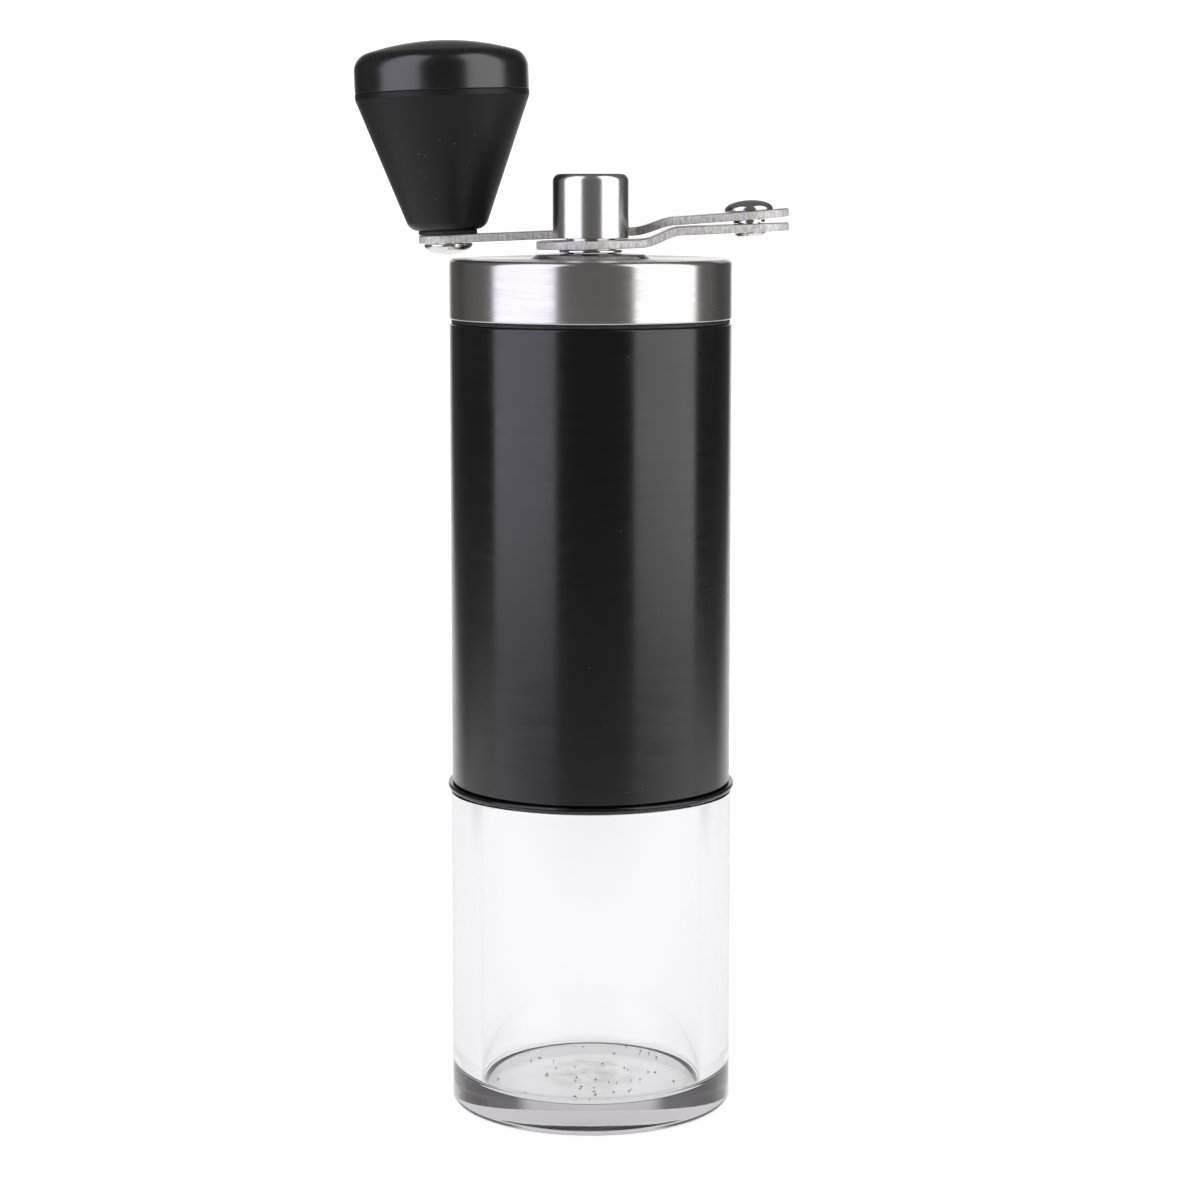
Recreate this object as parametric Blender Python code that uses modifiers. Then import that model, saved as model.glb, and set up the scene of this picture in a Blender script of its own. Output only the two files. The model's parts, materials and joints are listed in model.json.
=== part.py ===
"""Hand crank coffee grinder: clear jar, black body tube, steel lid, folding crank and conical burrs.

Metres, +Z up. The origin is the centre of the jar's underside, and every turned piece of the
body stands on the Z axis. The crank is folded over the lid: its elbow is at +X, its knob at -X.
"""
import math

import bmesh
import bpy
from mathutils import Matrix, Vector

MM = 0.001
GAP = 0.15 * MM
CHAMFER = 0.3 * MM
OBJECT_NAME = "hand_crank_coffee_grinder"

# Rounds: sides of a turned piece, by its size
WIDE_SIDES = 48
MID_SIDES = 36
SMALL_SIDES = 20
SCREW_SIDES = 12

# Jar
JAR_RADIUS = 25.3 * MM
JAR_HEIGHT = 57.65 * MM
JAR_BORE_RADIUS = 20.0 * MM
JAR_FLOOR = 4.5 * MM
JAR_FLOOR_FILLET = 1.6 * MM
JAR_EDGE = 1.0 * MM
NECK_RADIUS = 22.5 * MM
NECK_TOP = 66.5 * MM
NECK_GROOVE = (61.6 * MM, 63.0 * MM)
NECK_GROOVE_DEPTH = 1.0 * MM
JAR_SEAL_RADIUS = 22.15 * MM
JAR_SEAL_SECTION = 0.55 * MM

# Body tube and the collar that receives the jar's neck
TUBE_RADIUS = 25.0 * MM
TUBE_WALL = 1.0 * MM
TUBE_BOTTOM = 59.25 * MM
TUBE_TOP = 141.3 * MM
TUBE_EDGE = 0.3 * MM
COLLAR_RADIUS = 25.8 * MM
COLLAR_BOTTOM = 57.95 * MM
COLLAR_LIP = 1.0 * MM
COLLAR_SLEEVE_TOP = 71.0 * MM
COLLAR_BORE_RADIUS = 22.9 * MM
SLEEVE_RADIUS = 23.7 * MM

# Burr housing: a funnel with a seat for the ring burr and a bridge for the lower bush
HOUSING_BOTTOM = 71.3 * MM
HOUSING_TOP = 115.0 * MM
SEAT_RADIUS = 18.8 * MM
SEAT_TOP = 88.9 * MM
THROAT_RADIUS = 16.2 * MM
THROAT_TOP = 91.0 * MM
FUNNEL_MOUTH_RADIUS = 23.0 * MM
BRIDGE = (98.8 * MM, 106.0 * MM)
BRIDGE_HUB_RADIUS = 7.6 * MM
BRIDGE_BORE_RADIUS = 5.6 * MM
BRIDGE_ARM_WIDTH = 4.4 * MM
BRIDGE_ARM_REACH = 21.8 * MM
BRIDGE_ARM_INSET = 1.5 * MM
ARM_COUNT = 3

# Burrs
RING_BURR_RADIUS = 18.5 * MM
RING_BURR_SPAN = (71.2 * MM, 88.6 * MM)
RING_BURR_BORE = (14.9 * MM, 13.0 * MM)
CONE_BURR_SPAN = (72.5 * MM, 88.5 * MM)
CONE_BURR_RADII = (14.2 * MM, 7.6 * MM)
CONE_BURR_RIM = 2.0 * MM
BURR_BORE_RADIUS = 6.3 * MM
TOOTH_SIDES = 3
TOOTH_COUNT = 20
TOOTH_DEPTH = 0.8 * MM
TOOTH_TWIST = math.radians(24)
TOOTH_RINGS = 2

# Ring that holds the outer burr up, and its screws
RETAINER_SPAN = (68.9 * MM, 70.9 * MM)
RETAINER_RADII = (16.0 * MM, 22.2 * MM)
RETAINER_SCREW_CIRCLE = 20.6 * MM
SCREW_COUNT = 3
SCREW_SHANK_RADIUS = 0.95 * MM
SCREW_HOLE_RADIUS = 1.25 * MM
SCREW_HEAD_RADIUS = 1.5 * MM
SCREW_HEAD_HEIGHT = 1.0 * MM
SCREW_LENGTH = 7.0 * MM

# Shaft
SHAFT_RADIUS = 3.5 * MM
FLATS_RADIUS = 3.46 * MM
THREAD_RADIUS = 2.4 * MM
SHAFT_BOTTOM = 60.4 * MM
SQUARE_BOTTOM = 66.2 * MM
ROUND_SPAN = (98.3 * MM, 138.9 * MM)
SHAFT_TOP = 163.5 * MM
STACK_OVERLAP = 0.8 * MM
BUSH_BORE_RADIUS = 3.6 * MM
BUSH_FLANGE = 1.0 * MM
LOWER_BUSH_RADII = (5.4 * MM, 6.8 * MM)
LOWER_BUSH_SPAN = (98.6 * MM, 106.3 * MM)
UPPER_BUSH_RADII = (5.0 * MM, 6.0 * MM)
UPPER_BUSH_SPAN = (132.6 * MM, 137.6 * MM)
THRUST_WASHER_RADII = (3.75 * MM, 6.6 * MM)
THRUST_WASHER_SPAN = (107.6 * MM, 108.4 * MM)
SHAFT_COLLAR_RADII = (3.7 * MM, 6.3 * MM)
SHAFT_COLLAR_SPAN = (108.7 * MM, 111.3 * MM)

# Grind adjustment under the burr
CARRIER_FLANGE = (68.2 * MM, 70.1 * MM)
CARRIER_FLANGE_RADIUS = 11.5 * MM
CARRIER_RADIUS = 6.0 * MM
CARRIER_TOP = 89.3 * MM
CARRIER_HOLE_RADIUS = 3.76 * MM
CLICK_RING_RADII = (3.9 * MM, 8.2 * MM)
CLICK_RING_SPAN = (67.0 * MM, 67.9 * MM)
NUT_SPAN = (60.9 * MM, 66.7 * MM)
NUT_RADIUS = 10.0 * MM
NUT_LOBES = 10
NUT_LOBE_DEPTH = 0.6 * MM
NUT_BORE_RADIUS = 2.6 * MM
NUT_RECESS = (3.9 * MM, 64.6 * MM)

# Spring between the burr and the lower bush
SPRING_SPAN = (90.8 * MM, 97.6 * MM)
SPRING_RADIUS = 4.9 * MM
SPRING_WIRE_RADIUS = 0.45 * MM
SPRING_TURNS = 4
SPRING_POINTS_PER_TURN = 12
SPRING_WASHER_RADII = (4.0 * MM, 5.9 * MM)
SPRING_WASHER_SPAN = (89.55 * MM, 90.1 * MM)

# Upper bracket and bush
BRACKET_SPAN = (132.6 * MM, 137.4 * MM)
BRACKET_RIM_BORE = 22.4 * MM
BRACKET_HUB_RADIUS = 6.6 * MM
BRACKET_BORE_RADIUS = 5.2 * MM
BRACKET_ARM_WIDTH = 4.0 * MM
BRACKET_ARM_REACH = 23.0 * MM
BRACKET_ARM_INSET = 1.2 * MM

# Lid
LID_RADIUS = 25.1 * MM
LID_BOTTOM = 142.1 * MM
LID_RIM_TOP = 152.65 * MM
LID_EDGE = 0.95 * MM
LID_WALL = 0.8 * MM
LID_BOSS_RADIUS = 10.8 * MM
LID_BOSS_TOP = 153.55 * MM
LID_HOLE_RADIUS = 4.4 * MM

# Moulded insert that plugs the tube under the lid
INSERT_RADIUS = 23.8 * MM
INSERT_FLANGE_RADIUS = 24.7 * MM
PLUG_RADIUS = 23.55 * MM
PLUG_BORE_RADIUS = 21.8 * MM
PLUG_BOTTOM = 138.3 * MM
PLUG_GROOVE = (139.2 * MM, 140.5 * MM)
PLUG_GROOVE_RADIUS = 22.6 * MM
INSERT_ROOF = 149.8 * MM
INSERT_HUB_RADIUS = 5.6 * MM
INSERT_HUB_BOTTOM = 146.6 * MM
LID_SEAL_RADIUS = 23.25 * MM
LID_SEAL_SECTION = 0.5 * MM

# Crank, lower arm
PLATE = 1.5 * MM
HUB_RADIUS = 9.6 * MM
HUB_UNDERSIDE = 154.4 * MM
HUB_SLOPE = math.radians(1.1)
LOWER_SLOPE = math.radians(2.2)
LOWER_RAMP = (10.0 * MM, 14.8 * MM)
LOWER_NECK_HALF_WIDTH = 5.6 * MM
ELBOW = Vector((28.4 * MM, 6.5 * MM, 157.2 * MM))
ELBOW_LEAN = math.radians(3.2)
ELBOW_END_RADIUS = 7.0 * MM
ELBOW_GAP = 0.75 * MM
ELBOW_WASHER_RADIUS = 2.85 * MM
RIVET_RADIUS = 2.0 * MM
RIVET_HOLE_RADIUS = 2.15 * MM
RIVET_HEAD = (4.35 * MM, 1.9 * MM)
RIVET_TAIL = (2.9 * MM, 0.6 * MM)

# Crank, upper arm
UPPER_SLOPE = math.radians(4.3)
UPPER_RAMP = (13.6 * MM, 8.6 * MM)
UPPER_VEER = (19.5 * MM, 9.0 * MM)
UPPER_REACH_Y = 12.4 * MM
UPPER_LOW_UNDERSIDE = 156.53 * MM
UPPER_LOW_SLOPE = math.radians(2.3)
KNOB_END_RADIUS = 5.3 * MM

# Drive socket
SOCKET_RADIUS = 6.75 * MM
SOCKET_BOTTOM = 156.2 * MM
SOCKET_TOP = 167.5 * MM
SOCKET_EDGE = 1.2 * MM
SPIGOT_RADIUS = 4.4 * MM
SPIGOT_BOTTOM = 153.85 * MM
SOCKET_HEX_TOP = 164.4 * MM
HUB_WASHER = (153.72 * MM, 154.17 * MM)
HUB_WASHER_RADII = (4.65 * MM, 5.6 * MM)

# Knob; heights are above the upper arm, along the knob's own axis
KNOB_X = -25.8 * MM
KNOB_SEAT = UPPER_LOW_UNDERSIDE + PLATE + (KNOB_X - UPPER_RAMP[1]) * math.tan(UPPER_LOW_SLOPE)
KNOB = Vector((KNOB_X, UPPER_REACH_Y, KNOB_SEAT))
KNOB_LEAN = math.radians(2.0)
KNOB_FOOT = 0.75 * MM
KNOB_FOOT_RADIUS = 7.7 * MM
KNOB_RADIUS = 15.65 * MM
KNOB_BAND = 0.8 * MM
KNOB_FOOT_ROUND = 2.4 * MM
KNOB_PARTING = 25.4 * MM
KNOB_HEIGHT = 34.5 * MM
KNOB_CROWN_RADIUS = 46.0 * MM
KNOB_SHOULDER = 3.3 * MM
KNOB_WALL = 1.8 * MM
KNOB_FLOOR = 9.0 * MM
KNOB_BOSS_RADIUS = 5.2 * MM
KNOB_BOSS_TOP = 20.0 * MM
KNOB_BORE_RADIUS = 2.8 * MM
KNOB_WASHER_RADIUS = 4.7 * MM
CAP_SPIGOT_GAP = 0.4 * MM
CAP_SPIGOT_WALL = 1.6 * MM
CAP_SPIGOT_BOTTOM = 23.4 * MM
CAP_CEILING = 29.5 * MM
KNOB_PIN_RADIUS = 2.5 * MM
KNOB_PIN_TOP = 20.3 * MM
PIN_HEAD = (4.4 * MM, 1.8 * MM)
PIN_HEAD_RIM = 0.3 * MM
PIN_HOLE = (1.35 * MM, 8.0 * MM)
KNOB_SCREW_SHANK = (1.15 * MM, 7.0 * MM)
KNOB_SCREW_WASHER = (4.4 * MM, 0.75 * MM)
KNOB_SCREW_HEAD = (2.7 * MM, 0.85 * MM)

MAIN = bpy.data.collections.new(OBJECT_NAME)
CUTTERS = bpy.data.collections.new("cutters")


# ---------------------------------------------------------------- materials

def finish(name, colour, roughness, metallic=0.0, alpha=1.0):
    """A Principled material, made once for each name."""
    known = bpy.data.materials.get(name)
    if known:
        return known
    material = bpy.data.materials.new(name)
    material.use_nodes = True
    shader = material.node_tree.nodes["Principled BSDF"]
    shader.inputs["Base Color"].default_value = (*colour, 1.0)
    shader.inputs["Roughness"].default_value = roughness
    shader.inputs["Metallic"].default_value = metallic
    shader.inputs["Alpha"].default_value = alpha
    return material


def clear_plastic():
    """The jar's plastic."""
    return finish("clear_plastic", (0.95, 0.96, 0.96), 0.05, alpha=0.35)


def satin_black():
    """The tube's paint."""
    return finish("satin_black", (0.012, 0.012, 0.013), 0.35, 0.4)


def gloss_black():
    """The collar's and the cap's plastic."""
    return finish("gloss_black", (0.01, 0.01, 0.01), 0.12)


def soft_black():
    """The moulded inner parts and the grip."""
    return finish("soft_black", (0.015, 0.015, 0.015), 0.6)


def brushed_steel():
    """The lid and the arms."""
    return finish("brushed_steel", (0.62, 0.6, 0.58), 0.3, 1.0)


def polished_steel():
    """Turned and pressed steel."""
    return finish("polished_steel", (0.72, 0.71, 0.7), 0.15, 1.0)


def ceramic():
    """The burrs."""
    return finish("ceramic", (0.88, 0.87, 0.84), 0.45)


def brass():
    """The bushes."""
    return finish("brass", (0.72, 0.55, 0.28), 0.35, 1.0)


def white_nylon():
    """The thrust washer."""
    return finish("white_nylon", (0.85, 0.85, 0.82), 0.5)


def silicone():
    """The rubber rings."""
    return finish("silicone", (0.1, 0.1, 0.1), 0.7)


# ------------------------------------------------------------ building tools

def clear_scene():
    """Remove every object, and link the two collections."""
    for obj in list(bpy.data.objects):
        bpy.data.objects.remove(obj, do_unlink=True)
    bpy.context.scene.collection.children.link(MAIN)
    bpy.context.scene.collection.children.link(CUTTERS)


def place(name, mesh, material, parent=None):
    """A named sub-part in the object's collection, in its parent's frame."""
    obj = bpy.data.objects.new(name, mesh)
    MAIN.objects.link(obj)
    mesh.materials.append(material)
    obj.parent = parent
    return obj


def tool(name, mesh, parent=None):
    """A hidden solid that only cuts or joins, in the same frame as the part that it shapes."""
    obj = bpy.data.objects.new(name, mesh)
    CUTTERS.objects.link(obj)
    obj.parent = parent
    obj.hide_render = True
    obj.display_type = "WIRE"
    return obj


def joint_frame(name, position, lean):
    """An empty on a joint's axis; its Z leans by an angle towards -X."""
    empty = bpy.data.objects.new(name, None)
    MAIN.objects.link(empty)
    empty.location = position
    empty.rotation_euler = (0.0, -lean, 0.0)
    return empty


def profile_mesh(name, profile, closed):
    """The (radius, height) profile as a chain of edges in the XZ plane."""
    mesh = bpy.data.meshes.new(name)
    points = [(radius, 0.0, height) for radius, height in profile]
    edges = [(i, i + 1) for i in range(len(points) - 1)]
    if closed:
        edges.append((len(points) - 1, 0))
    mesh.from_pydata(points, edges, [])
    return mesh


def turned(name, profile, material, sides=MID_SIDES, parent=None):
    """A turned piece. The (radius, height) profile runs down the outside, then back up the bore."""
    on_axis = profile[0][0] == 0.0
    obj = place(name, profile_mesh(name, profile, not on_axis), material, parent)
    screw = obj.modifiers.new("turn", "SCREW")
    screw.axis = "Z"
    screw.angle = math.tau
    screw.steps = sides
    screw.render_steps = sides
    screw.use_merge_vertices = True
    screw.merge_threshold = 0.00001
    screw.use_smooth_shade = True
    return obj


def ring(name, radii, span, material, sides=MID_SIDES, parent=None):
    """A plain washer or bush: radii are (bore, outside), span is (bottom, top)."""
    bore, outside = radii
    bottom, top = span
    profile = [(outside, top), (outside, bottom), (bore, bottom), (bore, top)]
    return turned(name, profile, material, sides, parent)


def arc(centre, radius, start, end, steps):
    """Points (radius, height) on an arc, angles in degrees from the outward direction."""
    points = []
    for i in range(steps + 1):
        angle = math.radians(start + (end - start) * i / steps)
        points.append((centre[0] + radius * math.cos(angle), centre[1] + radius * math.sin(angle)))
    return points


def prism_mesh(name, sides, radius, span, turn=0.0, centre=(0.0, 0.0)):
    """An upright prism or cylinder between two heights."""
    bottom, top = span
    mesh = bpy.data.meshes.new(name)
    bm = bmesh.new()
    middle = Vector((*centre, (bottom + top) / 2))
    where = Matrix.Translation(middle) @ Matrix.Rotation(turn, 4, "Z")
    bmesh.ops.create_cone(bm, cap_ends=True, segments=sides, radius1=radius, radius2=radius,
                          depth=top - bottom, matrix=where)
    bm.to_mesh(mesh)
    bm.free()
    return mesh


def box_mesh(name, size, centre, turn):
    """A box turned about the Z axis after it is moved out to its centre."""
    mesh = bpy.data.meshes.new(name)
    bm = bmesh.new()
    where = Matrix.Rotation(turn, 4, "Z") @ Matrix.Translation(centre) @ Matrix.Diagonal((*size, 1.0))
    bmesh.ops.create_cube(bm, size=1.0, matrix=where)
    bm.to_mesh(mesh)
    bm.free()
    return mesh


def shape_with(obj, other, operation):
    """Cut, join or intersect a part with a hidden tool."""
    boolean = obj.modifiers.new(operation.lower(), "BOOLEAN")
    boolean.operation = operation
    boolean.solver = "EXACT"
    boolean.object = other


def drill(obj, sides, radius, span, centre=(0.0, 0.0), turn=0.0, parent=None):
    """Cut an upright hole, round or with flats, between two heights."""
    mesh = prism_mesh(obj.name + "_hole", sides, radius, span, turn, centre)
    shape_with(obj, tool(mesh.name, mesh, parent), "DIFFERENCE")


def spokes(obj, radii, span, width, first_turn=0.0):
    """Join three arms that reach from the hub's radius to the rim's."""
    inner, outer = radii
    bottom, top = span
    size = (outer - inner, width, top - bottom)
    centre = ((inner + outer) / 2, 0.0, (bottom + top) / 2)
    for i in range(ARM_COUNT):
        mesh = box_mesh(obj.name + "_arm", size, centre, first_turn + math.tau * i / ARM_COUNT)
        shape_with(obj, tool(mesh.name, mesh), "UNION")


def flat_solid_mesh(name, outline, half_depth, matrix):
    """A closed outline filled and extruded both ways, as a mesh in its final place."""
    curve = bpy.data.curves.new(name, "CURVE")
    curve.dimensions = "2D"
    curve.fill_mode = "BOTH"
    curve.extrude = half_depth
    spline = curve.splines.new("POLY")
    spline.points.add(len(outline) - 1)
    for point, (x, y) in zip(spline.points, outline):
        point.co = (x, y, 0.0, 1.0)
    spline.use_cyclic_u = True
    source = bpy.data.objects.new(name + "_outline", curve)
    CUTTERS.objects.link(source)
    evaluated = source.evaluated_get(bpy.context.evaluated_depsgraph_get())
    mesh = bpy.data.meshes.new_from_object(evaluated)
    bpy.data.objects.remove(source)
    bm = bmesh.new()
    bm.from_mesh(mesh)
    bmesh.ops.remove_doubles(bm, verts=bm.verts, dist=0.00001)
    bmesh.ops.transform(bm, matrix=matrix, verts=bm.verts)
    bmesh.ops.recalc_face_normals(bm, faces=bm.faces)
    bm.to_mesh(mesh)
    bm.free()
    mesh.name = name
    return mesh


def strap_outline(path, half_width, start_radius, end_radius, round_steps=12):
    """The plan of a flat strap along a path, with a round end past each of its two ends."""
    left, right = [], []
    travelled = 0.0
    for i, point in enumerate(path):
        before = path[max(i - 1, 0)]
        after = path[min(i + 1, len(path) - 1)]
        along = (after - before).normalized()
        across = Vector((-along.y, along.x))
        if i:
            travelled += (point - before).length
        width = half_width(travelled)
        left.append(point + across * width)
        right.append(point - across * width)
    start = round_end(path[0], path[0] - path[1], start_radius, round_steps)
    end = round_end(path[-1], path[-1] - path[-2], end_radius, round_steps)
    return [(p.x, p.y) for p in left[1:-1] + end[::-1] + right[-2:0:-1] + start[::-1]]


def round_end(centre, outward, radius, steps):
    """Points of the half circle that closes a strap, counterclockwise from its right side."""
    heading = math.atan2(outward.y, outward.x)
    points = []
    for i in range(steps + 1):
        angle = heading - math.pi / 2 + math.pi * i / steps
        points.append(centre + Vector((math.cos(angle), math.sin(angle))) * radius)
    return points


def bent_plate(name, top_line, plan, material):
    """A bent flat arm: its side view and its plan, each a flat solid, intersected."""
    underside = [(x, z - PLATE) for x, z in reversed(top_line)]
    stand_up = Matrix.Rotation(math.pi / 2, 4, "X")
    reach = 40.0 * MM
    side = flat_solid_mesh(name, top_line + underside, reach, stand_up)
    obj = place(name, side, material)
    heights = [z for _, z in top_line]
    middle = (min(heights) + max(heights)) / 2
    upright = flat_solid_mesh(name + "_plan", plan, reach / 4, Matrix.Translation((0.0, 0.0, middle)))
    shape_with(obj, tool(upright.name, upright), "INTERSECT")
    return obj


def toothed_cone_mesh(name, radii, span, depth, sign):
    """A cone whose side has slanting saw teeth; sign -1 cuts them in, +1 raises them."""
    bottom, top = span
    mesh = bpy.data.meshes.new(name)
    bm = bmesh.new()
    segments = TOOTH_SIDES * TOOTH_COUNT
    bmesh.ops.create_cone(bm, cap_ends=True, segments=segments, radius1=radii[0], radius2=radii[1],
                          depth=top - bottom, matrix=Matrix.Translation((0.0, 0.0, (bottom + top) / 2)))
    uprights = [e for e in bm.edges if abs(e.verts[0].co.z - e.verts[1].co.z) > 0.5 * (top - bottom)]
    bmesh.ops.subdivide_edges(bm, edges=uprights, cuts=TOOTH_RINGS)
    for vert in bm.verts:
        angle = math.atan2(vert.co.y, vert.co.x)
        column = round(angle / math.tau * segments) % TOOTH_SIDES
        rise = (vert.co.z - bottom) / (top - bottom)
        radius = vert.co.xy.length + sign * depth * column / TOOTH_SIDES
        angle += TOOTH_TWIST * rise
        vert.co.x = radius * math.cos(angle)
        vert.co.y = radius * math.sin(angle)
    bm.to_mesh(mesh)
    bm.free()
    return mesh


# --------------------------------------------------------------- jar and body

def build_jar():
    """Thick clear jar with a stepped neck, a ring groove and a filleted floor."""
    groove_bottom, groove_top = NECK_GROOVE
    groove_radius = NECK_RADIUS - NECK_GROOVE_DEPTH
    outside = [(NECK_RADIUS, NECK_TOP), (NECK_RADIUS, groove_top), (groove_radius, groove_top),
               (groove_radius, groove_bottom), (NECK_RADIUS, groove_bottom), (NECK_RADIUS, JAR_HEIGHT),
               (JAR_RADIUS - CHAMFER, JAR_HEIGHT), (JAR_RADIUS, JAR_HEIGHT - CHAMFER)]
    foot = arc((JAR_RADIUS - JAR_EDGE, JAR_EDGE), JAR_EDGE, 0, -90, 2)
    fillet_centre = (JAR_BORE_RADIUS - JAR_FLOOR_FILLET, JAR_FLOOR + JAR_FLOOR_FILLET)
    floor = arc(fillet_centre, JAR_FLOOR_FILLET, -90, 0, 2)
    profile = outside + foot + [(0.0, 0.0)]
    cavity = [(0.0, NECK_TOP + MM), (JAR_BORE_RADIUS, NECK_TOP + MM)] + floor[::-1] + [(0.0, JAR_FLOOR)]
    jar = turned("jar", [(0.0, NECK_TOP)] + profile, clear_plastic(), WIDE_SIDES)
    hollow = turned("jar_hollow", cavity, clear_plastic(), WIDE_SIDES)
    MAIN.objects.unlink(hollow)
    CUTTERS.objects.link(hollow)
    hollow.hide_render = True
    hollow.display_type = "WIRE"
    shape_with(jar, hollow, "DIFFERENCE")


def build_seal(name, centre_radius, height, section):
    """A round rubber ring in its groove."""
    profile = arc((centre_radius, height), section, 90, -210, 5)
    turned(name, profile, silicone(), MID_SIDES)


def build_collar():
    """The lipped collar in the tube's lower end, which the jar's neck pushes into."""
    lip_top = COLLAR_BOTTOM + COLLAR_LIP
    profile = [(SLEEVE_RADIUS, COLLAR_SLEEVE_TOP), (SLEEVE_RADIUS, lip_top)]
    profile += [(COLLAR_RADIUS - CHAMFER, lip_top), (COLLAR_RADIUS, lip_top - CHAMFER),
                (COLLAR_RADIUS, COLLAR_BOTTOM + CHAMFER), (COLLAR_RADIUS - CHAMFER, COLLAR_BOTTOM),
                (COLLAR_BORE_RADIUS, COLLAR_BOTTOM), (COLLAR_BORE_RADIUS, COLLAR_SLEEVE_TOP)]
    turned("jar_collar", profile, gloss_black(), WIDE_SIDES)


def build_tube():
    """The painted tube, its upper edge broken."""
    bore = TUBE_RADIUS - TUBE_WALL
    profile = [(TUBE_RADIUS - TUBE_EDGE, TUBE_TOP), (TUBE_RADIUS, TUBE_TOP - TUBE_EDGE),
               (TUBE_RADIUS, TUBE_BOTTOM), (bore, TUBE_BOTTOM), (bore, TUBE_TOP)]
    turned("body_tube", profile, satin_black(), WIDE_SIDES)


def build_housing():
    """Funnel, burr seat and three-armed bridge in one moulding."""
    profile = [(SLEEVE_RADIUS, HOUSING_TOP), (SLEEVE_RADIUS, HOUSING_BOTTOM), (SEAT_RADIUS, HOUSING_BOTTOM),
               (SEAT_RADIUS, SEAT_TOP), (THROAT_RADIUS, SEAT_TOP), (THROAT_RADIUS, THROAT_TOP),
               (FUNNEL_MOUTH_RADIUS, HOUSING_TOP)]
    housing = turned("burr_housing", profile, soft_black(), MID_SIDES)
    bottom, top = BRIDGE
    arm_span = (bottom + BRIDGE_ARM_INSET, top - BRIDGE_ARM_INSET)
    spokes(housing, (BRIDGE_BORE_RADIUS, BRIDGE_ARM_REACH), arm_span, BRIDGE_ARM_WIDTH)
    hub = prism_mesh("bridge_hub", SMALL_SIDES, BRIDGE_HUB_RADIUS, BRIDGE)
    shape_with(housing, tool("bridge_hub", hub), "UNION")
    drill(housing, SMALL_SIDES, BRIDGE_BORE_RADIUS, (bottom - MM, top + MM))
    screw_span = (HOUSING_BOTTOM - MM, HOUSING_BOTTOM + SCREW_LENGTH)
    for centre in screw_centres():
        drill(housing, SCREW_SIDES, SCREW_HOLE_RADIUS, screw_span, centre)


def build_flanged_bush(name, radii, span):
    """A plain bearing with a flange on top: radii are (outside, flange), span is (bottom, seat)."""
    outside, flange_radius = radii
    bottom, seat = span
    flange_top = seat + BUSH_FLANGE
    profile = [(flange_radius, flange_top), (flange_radius, seat), (outside, seat), (outside, bottom),
               (BUSH_BORE_RADIUS, bottom), (BUSH_BORE_RADIUS, flange_top)]
    turned(name, profile, brass(), SMALL_SIDES)


def build_bracket():
    """Pressed ring with three arms that steadies the shaft at the hopper's mouth."""
    bottom, top = BRACKET_SPAN
    bracket = ring("upper_bracket", (BRACKET_RIM_BORE, SLEEVE_RADIUS), BRACKET_SPAN, polished_steel())
    arm_span = (bottom + BRACKET_ARM_INSET, top - BRACKET_ARM_INSET)
    spokes(bracket, (BRACKET_BORE_RADIUS, BRACKET_ARM_REACH), arm_span, BRACKET_ARM_WIDTH, math.pi / 3)
    hub = prism_mesh("bracket_hub", SMALL_SIDES, BRACKET_HUB_RADIUS, BRACKET_SPAN)
    shape_with(bracket, tool("bracket_hub", hub), "UNION")
    drill(bracket, SMALL_SIDES, BRACKET_BORE_RADIUS, (bottom - MM, top + MM))


def screw_centres():
    """Where the retainer's screws stand, between the bridge arms."""
    angles = [math.pi / 3 + math.tau * i / SCREW_COUNT for i in range(SCREW_COUNT)]
    return [(RETAINER_SCREW_CIRCLE * math.cos(a), RETAINER_SCREW_CIRCLE * math.sin(a)) for a in angles]


def build_retainer():
    """The ring under the outer burr and the screws that hold it."""
    bottom, top = RETAINER_SPAN
    retainer = ring("burr_retainer", RETAINER_RADII, RETAINER_SPAN, soft_black())
    head_top = bottom - GAP
    tip = bottom + SCREW_LENGTH
    profile = [(0.0, tip), (SCREW_SHANK_RADIUS, tip), (SCREW_SHANK_RADIUS, head_top),
               (SCREW_HEAD_RADIUS, head_top), (SCREW_HEAD_RADIUS, head_top - SCREW_HEAD_HEIGHT * 0.6),
               (SCREW_HEAD_RADIUS * 0.7, head_top - SCREW_HEAD_HEIGHT), (0.0, head_top - SCREW_HEAD_HEIGHT)]
    for i, centre in enumerate(screw_centres()):
        drill(retainer, SCREW_SIDES, SCREW_HOLE_RADIUS, (bottom - MM, top + MM), centre)
        screw = turned(f"retainer_screw_{i + 1}", profile, polished_steel(), SCREW_SIDES)
        screw.location = (centre[0], centre[1], 0.0)


def build_ring_burr():
    """Ceramic ring with slanting teeth inside."""
    bottom, top = RING_BURR_SPAN
    mesh = prism_mesh("outer_burr", MID_SIDES, RING_BURR_RADIUS, RING_BURR_SPAN)
    burr = place("outer_burr", mesh, ceramic())
    teeth = toothed_cone_mesh("outer_burr_teeth", RING_BURR_BORE, (bottom - MM, top + MM), TOOTH_DEPTH, 1)
    shape_with(burr, tool(teeth.name, teeth), "DIFFERENCE")


def build_cone_burr():
    """Ceramic cone with slanting teeth, a plain rim below and a bore for its carrier."""
    bottom, top = CONE_BURR_SPAN
    mesh = toothed_cone_mesh("inner_burr", CONE_BURR_RADII, CONE_BURR_SPAN, TOOTH_DEPTH, -1)
    burr = place("inner_burr", mesh, ceramic())
    rim = prism_mesh("inner_burr_rim", MID_SIDES, CONE_BURR_RADII[0] - TOOTH_DEPTH,
                     (bottom - CONE_BURR_RIM, bottom + MM))
    shape_with(burr, tool(rim.name, rim), "UNION")
    drill(burr, SMALL_SIDES, BURR_BORE_RADIUS, (bottom - 4 * MM, top + MM))


# ------------------------------------------------------ shaft and adjustment

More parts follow.
